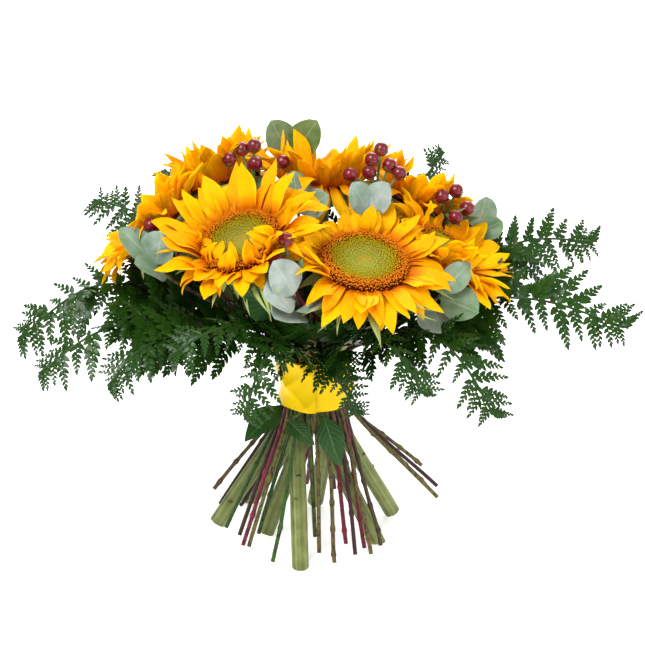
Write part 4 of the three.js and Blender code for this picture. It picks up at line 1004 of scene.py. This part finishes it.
# %% [markdown]
# ## Fern fronds
#
# A leatherleaf frond is cut three times: its stipe carries pairs of leaflets, each leaflet carries
# pairs of segments, and each segment is lobed. The solids have the first leaflets as plain toothed
# blades. Each of those is found again by its bend, one more grows between each two, and all of them
# get their own rib with lobed segments along it.

# %% Grow the ferns
LOBED = [(0.02, 0.75), (0.127, 1.0), (0.234, 0.92), (0.341, 1.0), (0.449, 0.8), (0.556, 0.86), (0.663, 0.6),
         (0.77, 0.58), (0.878, 0.3), (0.985, 0.08)]
PINNA_TRIES = grid_of([1, 0.8, 0.6, 0.42], [0, -10, 10, -20, 20, -32, 32, -46, 46, -62])
LEAFLET_ANGLE = np.radians(60)  # between a leaflet and its stipe
LEAFLET_BEND = -22.0  # degrees that a leaflet bends from root to tip
# The least and the most that a second set is raised, in degrees, its share of the first set's length,
# and the pairs that stand further down.
RAISED = {
    "fern_front_left": (24, 62, 0.92, 0), "fern_front_hanging": (30, 80, 1.0, 0),
    "fern_front_right": (24, 62, 0.92, 0), "fern_right_low": (24, 62, 0.92, 0),
    "fern_left_low": (24, 62, 0.92, 0), "fern_over_ribbon": (10, 60, 1.2, 0),
    "fern_left": (24, 62, 0.92, 0), "fern_right": (20, 50, 0.5, 0), "fern_left_up": (14, 50, 0.45, 0),
    "fern_right_up": (14, 50, 0.9, 0), "fern_behind_left": (50, 105, 1.2, 2),
    "fern_behind_right": (50, 105, 1.2, 2), "fern_back_left": (10, 80, 1.1, 4),
    "fern_back_right": (10, 80, 1.1, 4),
}


def pinnae_of(name, frond, path, corners):
    """The leaflets: on each side at even steps of the blade, 60 degrees from the stipe, and shorter
    towards the tip. Half steps are the ones that the solid leaves out, and more stand close together
    at the tip. Except on the four rear fronds, those near the tip are up to a fifth longer than the
    solid's. A raised frond carries a second set on its lower half, which stands up more and fills the
    bunch."""
    length = np.linalg.norm(np.diff(path, axis=0), axis=1).sum()
    blade_start = 1 - frond["longest"] * 2.35 / length
    pairs = 5 if frond["longest"] < 63 else 6
    least, most, part, further = RAISED.get(name, (0, 0, 0, 0))
    steps = np.append(np.arange(0, pairs - 1, 0.5), pairs - 1 + np.array([0, 0.25, 0.5, 0.72, 0.9]))
    steps = np.append(steps, -0.6 * (np.arange(further) + 1))
    found = {}
    rows = []
    for side in (1, -1):
        for i in steps:
            share = i / pairs
            at = blade_start + (0.985 - blade_start) * (share + (0 if side > 0 else 0.45 / pairs))
            root, forward = (v[0] for v in along_path(path, min(at, 0.99)))
            up = square_to(np.array(frond["face"], float), forward)
            across = np.cross(forward, up) * side
            way = way_at(forward, across, LEAFLET_ANGLE)
            reach = frond["longest"] * (1 - 0.8 * share) * (0.9 if i == 0 else 1)
            if i % 1 == 0:
                tried = blade_of(root, way, up, reach * PINNA_TRIES[0], PINNA_TRIES[1], LEAFLET_BEND)
                found[side] = bend_of(tried, corners, PINNA_TRIES, near=1.0) or (0.5, rng.uniform(-30, 20))
            scale, bent = found[side]
            scale = scale**0.7
            if i < 0:
                scale, bent = 0.9, rng.uniform(-10, 40)
            elif i % 1:
                scale, bent = scale * rng.uniform(0.85, 1.0), bent + rng.uniform(6, 20) * rng.choice([-1, 1])
            fine = reach * scale * (1 + (0 if further else 0.2) * share)
            rows.append((root, way, up, fine, bent, LEAFLET_BEND, 0.2 * fine + 1.4, share))
    columns = [np.array(column) for column in zip(*rows)]
    if name in RAISED:
        low = columns[7] < 0.55
        again = [column[low].copy() for column in columns]
        again[4] += rng.uniform(least, most, low.sum())
        again[3] *= part
        columns = [np.concatenate(pair) for pair in zip(columns, again)]
    return blade_of(*columns[:6], half=columns[6], cup=0.0)


def segments_of(pinnae):
    """Four to ten pairs of segments on the rib of each leaflet, closer towards its tip, and one at its
    end. At share t the rib heads at lift + bend t, a segment leaves it at 62 - 15 t degrees and bends
    forward, and its length is 1.15 of the leaflet's half width times 1 - 0.55 t - 0.25 t ** 3."""
    pairs = np.clip(np.round(3 + pinnae["length"] / 9), 4, 10).astype(int)
    number = 2 * pairs + 1
    of = np.repeat(np.arange(len(pairs)), number)
    k = np.arange(of.size) - np.repeat(np.cumsum(number) - number, number)
    last = k == 2 * pairs[of]
    side = np.where(last, 0.0, 1.0 - 2 * (k % 2))
    even = np.where(last, 1.0, (k // 2 + 0.25 + 0.4 * (k % 2)) / pairs[of])
    t = 0.92 * (1 - (1 - even) ** 1.3)
    step = 1.2 * (1.02 - even) ** 0.3 / pairs[of] * pinnae["length"][of]
    rib = {key: value[of] for key, value in pinnae.items()}
    zero = np.zeros((of.size, 1, 1))
    root = bent_place(rib, t[:, None, None], zero, zero)[:, 0, 0]
    heading = np.radians(rib["lift"] + rib["bend"] * t)
    forward = way_at(rib["along"], rib["up"], heading)
    normal = way_at(rib["up"], -rib["along"], heading)
    way = way_at(forward, np.cross(rib["up"], rib["along"]), np.radians(62 - 15 * t) * side)
    reach = 1.15 * rib["half"] * (1 - 0.55 * t - 0.25 * t**3) * rng.uniform(0.88, 1.1, of.size) + 1.5 * last
    wide = np.minimum(0.34 * reach, 0.55 * step + 0.3)
    return of, blade_of(root, way, normal, reach, rng.uniform(-2, 12, of.size), rng.uniform(-34, -6, of.size),
                        half=wide, cup=rng.uniform(-0.2, 0.4, of.size), sway=-0.14 * side)


for name, frond in FRONDS.items():
    path = twig_path(name, frond)
    skins = Skins()
    barks = [0.3, 0.36, 0.4, 0.6, 0.72, 1.0]
    add_stem(skins, *knotted(path, TWIG_RADIUS, 0.7, 90), twig_bark, 8, rng.choice(barks), ends=0.2)
    leafy = path[len(path) * 55 // 100:]  # the upper part, where the leaflets stand, is green
    add_stem(skins, *tapered(leafy, 60, 0.45 * TWIG_RADIUS + 0.6, 0.85), fern_leaf, 8, 0.6)
    pinnae = pinnae_of(name, frond, path, corners_of(name))
    steps = np.linspace(0, 0.97, 8)[None, :, None]
    ribs = bent_place(pinnae, steps + np.zeros((len(pinnae["root"]), 1, 1)), 0 * steps, 0 * steps)[:, :, 0]
    for rib in ribs:
        add_stem(skins, *tapered(rib, 8, 0.55, 0.25), fern_leaf, 4, 0.8)
    of, segments = segments_of(pinnae)
    add_blades(skins, segments, LOBED, fern_leaf, 10, 4, 0.5, tone=rng.uniform(0, 0.7, len(ribs))[of])
    skins.make(name)
print("fronds:", len(FRONDS), "the last has", made[-1][1], "triangles")

# %% [markdown]
# ## Leaves on twigs
#
# A small leaf is aimed from its root at its tip, and bends back a little on the way. The solids may
# have bent it again to clear a neighbour, so that bend is found as for the petals. Eucalyptus leaves
# are nearly round coins on short stalks. The twigs end inside the last leaves.

# %% Aim a leaf
LEAF_TRIES = grid_of([1, 0.85, 0.7, 0.5], [0, 10, -10, 20, -20, 32, -32, 45, -45])
LEAF_LIFT, LEAF_BEND = 8, -16.0  # degrees from the straight line between root and tip, and back to it
COIN = [(0, 0.05), (0.09, 0.1), (0.16, 0.45), (0.28, 0.78), (0.42, 0.96), (0.54, 1), (0.68, 0.93),
        (0.82, 0.72), (0.93, 0.42), (1, 0)]
POINTED = [(0, 0.08), (0.08, 0.3), (0.2, 0.72), (0.34, 0.97), (0.5, 0.96), (0.68, 0.72), (0.84, 0.4),
           (0.94, 0.16), (1, 0)]


def leaf_towards(root, tip, face, half, corners):
    """A blade from its root towards its tip, with the scale and bend that the solid has."""
    way = np.array(tip, float) - root
    length = np.linalg.norm(way)
    way = way / length
    up = square_to(np.array(face, float), way)
    tried = blade_of(root, way, up, length * LEAF_TRIES[0], LEAF_LIFT + LEAF_TRIES[1], LEAF_BEND)
    scale, bent = bend_of(tried, corners, LEAF_TRIES, near=0.8) or (0.5, 0)
    return blade_of(root, way, up, length * scale, LEAF_LIFT + bent, LEAF_BEND, half=half * scale, cup=0.15)


def soft_waves(share, across, width):
    """A leaf isn't flat: 0.7 mm waves near its edge and a groove 0.5 mm deep along its rib."""
    groove = np.exp(-((across / 0.12) ** 2))
    return 0.7 * np.sin(9 * share + 2 * across) * across**2 * width - 0.5 * groove * width


# %% Grow the eucalyptus
GREENNESS = {"eucalyptus_top": 0.7, "eucalyptus_left_back": 0.85, "eucalyptus_far_left": 0.45,
             "eucalyptus_right": 0.4, "eucalyptus_right_back": 0.45, "eucalyptus_centre": 0.3}

for number, (name, spray) in enumerate(EUCALYPTUS.items()):
    path = twig_path(name, spray)
    corners = corners_of(name)
    skins = Skins()
    add_stem(skins, *knotted(path, TWIG_RADIUS, 1.1, 19), twig_bark, 8, 0.33 + 0.05 * number, ends=0.2)
    for on, tip, face, half in spray["leaves"]:
        root = along_path(path, min(on, 0.99))[0][0]
        grown = leaf_towards(root, tip, face, half, corners)
        young = GREENNESS.get(name, 0.05) + rng.uniform(-0.1, 0.25)
        add_blades(skins, grown, COIN, silver_leaf, 16, 16, 0.8, soft_waves, young)
    skins.make(name)
print("eucalyptus:", len(EUCALYPTUS), made[-1])

# %% [markdown]
# ## Berries
#
# Hypericum carries its berries in loose heads. Each berry is an egg with a fine point, the rest of
# the flower's style. Five green sepals spread behind it and a thin stalk joins it to the twig. The
# egg is a circle carried along its axis, with a radius that grows and shrinks as a sine does.

# %% Grow the hypericum
EGG = 5.4  # mm, the radius of a berry
EGG_SIDES = 20
SEPALS = 5


def add_berry(skins, end, berry):
    """At share t of the axis the radius is R sin(pi t) ** 0.86 at the height -R cos(pi t), and the
    last of it is drawn out to a point 1.06 R from the middle."""
    away = unit(berry - end)
    t = np.linspace(0.04, 0.965, 14)
    heights = np.append(-EGG * np.cos(np.pi * t), 1.03 * EGG)
    radii = np.append(EGG * np.sin(np.pi * t) ** 0.86, 0.35)
    side = square_to(np.array([0.3, -0.9, 0.2]), away)
    other = np.cross(away, side)
    circle = circle_of(side, other, EGG_SIDES)
    rings = berry + heights[:, None, None] * away + radii[:, None, None] * circle
    skins.add(rings[None], (berry - EGG * away)[None], (berry + 1.06 * EGG * away)[None], berry_skin)
    stalk = curve_points([end, 0.5 * (end + berry) + [0, 0, -0.8], berry - 0.9 * EGG * away], 5)
    add_stem(skins, stalk, np.linspace(0.8, 1.0, len(stalk)), silver_leaf, 6, 0.8)
    spread = way_at(side, other, 2 * np.pi / SEPALS * np.arange(SEPALS) + 0.6)
    length, lift, bend = (rng.uniform(*limits, SEPALS) for limits in ((6.6, 8.2), (2, 14), (10, 50)))
    sepals = blade_of(berry - 0.93 * EGG * away, unit(spread + 0.1 * away), away, length, lift, bend,
                      half=2.5, cup=0.2)
    add_blades(skins, sepals, POINTED, silver_leaf, 7, 6, 0.5, tone=0.9)


for name, spray in HYPERICUM.items():
    path = twig_path(name, spray)
    corners = corners_of(name)
    skins = Skins()
    add_stem(skins, *knotted(path, TWIG_RADIUS, 1.4, 34), twig_bark, 8, 0.06, ends=0.2)
    for i, berry in enumerate(spray["berries"]):
        end = along_path(path, 0.99 - 0.01 * i)[0][0]
        berry = np.array(berry, float)
        places = berry + unit(end - berry) * np.array([0, 3, 6, 9, 12, 15])[:, None]
        tips = places + unit(places - end) * 1.05 * EGG
        add_berry(skins, end, places[distances(tips, corners).min(axis=1).argmin()])
    for tip in spray["leaves"]:
        root = along_path(path, 0.96)[0][0]
        grown = leaf_towards(root, tip, (0, -0.5, 0.8), 4.5, corners)
        add_blades(skins, grown, POINTED, silver_leaf, 12, 10, 0.7, soft_waves, 0.75)
    skins.make(name)
print("hypericum:", len(HYPERICUM), made[-1])

# %% [markdown]
# ## Broad leaves
#
# Four dark leaves fill the bunch low down. Three hang out under the ribbon from stalks that only
# pass through the tie, and the fourth stands at the front among the eucalyptus.

# %% Grow the broad leaves
for name, spec in BROAD_LEAVES.items():
    path = twig_path(name, spec)
    skins = Skins()
    add_stem(skins, *tapered(path, 40, TWIG_RADIUS, 1.5), twig_bark, 10, 0.9, ends=0.2)
    root = along_path(path, 0.005 if spec["hangs"] else 0.99)[0][0]
    grown = leaf_towards(root, spec["tip"], spec["face"], spec["half"], corners_of(name))
    add_blades(skins, grown, POINTED, dark_leaf, 20, 16, 0.9, soft_waves, 0.5)
    skins.make(name)
print("broad leaves:", len(BROAD_LEAVES))

# %% [markdown]
# ## The ribbon
#
# One strip of satin goes two and a half times round the stems, each turn over the last.
# It is one sheet on a grid of the length and the width. The stems press it from inside, and where it
# was pulled tight it stands up in slanting creases: 1 - |sin| of a slanting phase is a sharp ridge.

# %% Wind the ribbon
def grid_mesh(name, points, finish):
    """A smooth sheet of four-sided faces on rows and columns of points, which are in metres."""
    rows, columns = points.shape[:2]
    corner = (np.arange(rows - 1)[:, None] * columns + np.arange(columns - 1)).ravel()
    faces = np.stack([corner, corner + columns, corner + columns + 1, corner + 1], -1)
    mesh = bpy.data.meshes.new(name)
    mesh.from_pydata(points.reshape(-1, 3).tolist(), [], faces.tolist())
    mesh.materials.append(finish)
    mesh.polygons.foreach_set("use_smooth", np.ones(len(faces), bool))
    return mesh


TURNS = 2.5
RIBBON_RADIUS = 26.0
LAP = 0.48  # mm that the strip moves outwards from its first end to its last
HALF_WIDTH = 18.85
u = np.linspace(0, 1, 400)[:, None]  # along the strip
w = np.linspace(-1, 1, 25)[None, :]  # across it
angle = 2 * np.pi * TURNS * u + np.pi / 2
inner = RIBBON_RADIUS + LAP * u
stems_press = 0.09 * np.cos(16 * angle + 1.5 * w)
crease = (1 - np.abs(np.sin(1.9 * w + 1.5 * angle + 0.5 * np.sin(3 * angle) + 0.9))) ** 1.4
small = (1 - np.abs(np.sin(2.3 * w - 2.5 * angle + 0.4))) ** 2
radius = inner + stems_press + (0.3 + 3.0 * crease + 1.4 * small) * np.clip((u - 0.6) / 0.1, 0, 1)
height = WAIST + HALF_WIDTH * w + 0 * u
turn = angle - np.radians(2) * w
strip = np.stack([radius * np.cos(turn), radius * np.sin(turn), height], -1)
ribbon = add_object("ribbon_satin", grid_mesh("ribbon_satin", (strip + SHIFT) / 1000, satin))
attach(ribbon, "root")
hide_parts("ribbon")

# %% [markdown]
# ## Floor and light
#
# The bunch stands on a plain white floor that fades into a white room. A large soft lamp above and
# to the left makes the highlights, weaker ones fill from the right and shine through the petals from
# behind, and the white room lights the rest, so shadows stay pale. The floor is paper: matt, with
# fibres about 1 mm long. It glows a little, as a light table does, which bleaches its shadows.

# %% Floor
paper, add, shader = start_finish(
    "white paper", Roughness=0.95, Emission_Color=(1, 1, 1, 1), Emission_Strength=0.36)
place = add("TexCoord", out="Object")
fibres = add("TexNoise", {"Vector": place, "Scale": 900.0})
add("Mix", {0: fibres, 6: linear(0xFCFCFC), 7: linear(0xFFFFFF)}, into=shader["Base Color"], **MIX)
u, v = np.meshgrid(np.linspace(-3, 3, 9), np.linspace(-3, 3, 9), indexing="ij")
floor = add_object("floor", grid_mesh("floor", np.stack([u, v, np.full(u.shape, -0.0006)], -1), paper))


# %% Light
camera_target = Vector(target / 1000)


def add_soft_lamp(name, place, power, size):
    """A square lamp that looks at the middle of the bunch. Its power is in watts, its size in metres."""
    data = bpy.data.lights.new(name, "AREA")
    data.energy, data.size = power, size
    lamp = add_object(name, data)
    lamp.location = place
    lamp.rotation_euler = (lamp.location - camera_target).to_track_quat("Z", "Y").to_euler()


add_soft_lamp("key", (-0.8, -1.1, 1.9), 52, 1.2)
add_soft_lamp("fill", (1.5, -1.2, 1.0), 14, 1.4)
add_soft_lamp("back", (0.3, 1.6, 1.5), 26, 1.4)
world = bpy.data.worlds.new("white room")
world.use_nodes = True
world.node_tree.nodes["Background"].inputs["Color"].default_value = (1, 1, 1, 1)
world.node_tree.nodes["Background"].inputs["Strength"].default_value = 0.82
bpy.context.scene.world = world
bpy.context.scene.view_settings.view_transform = "Standard"

# %% [markdown]
# ## Finish
#
# The pieces and their triangles are counted. The grown bunch has to stay within about
# 3% of its solids.

# %% Count the pieces and triangles
bpy.context.view_layer.update()
print("pieces:", len(made) + 1, "triangles:", sum(count for _, count in made))
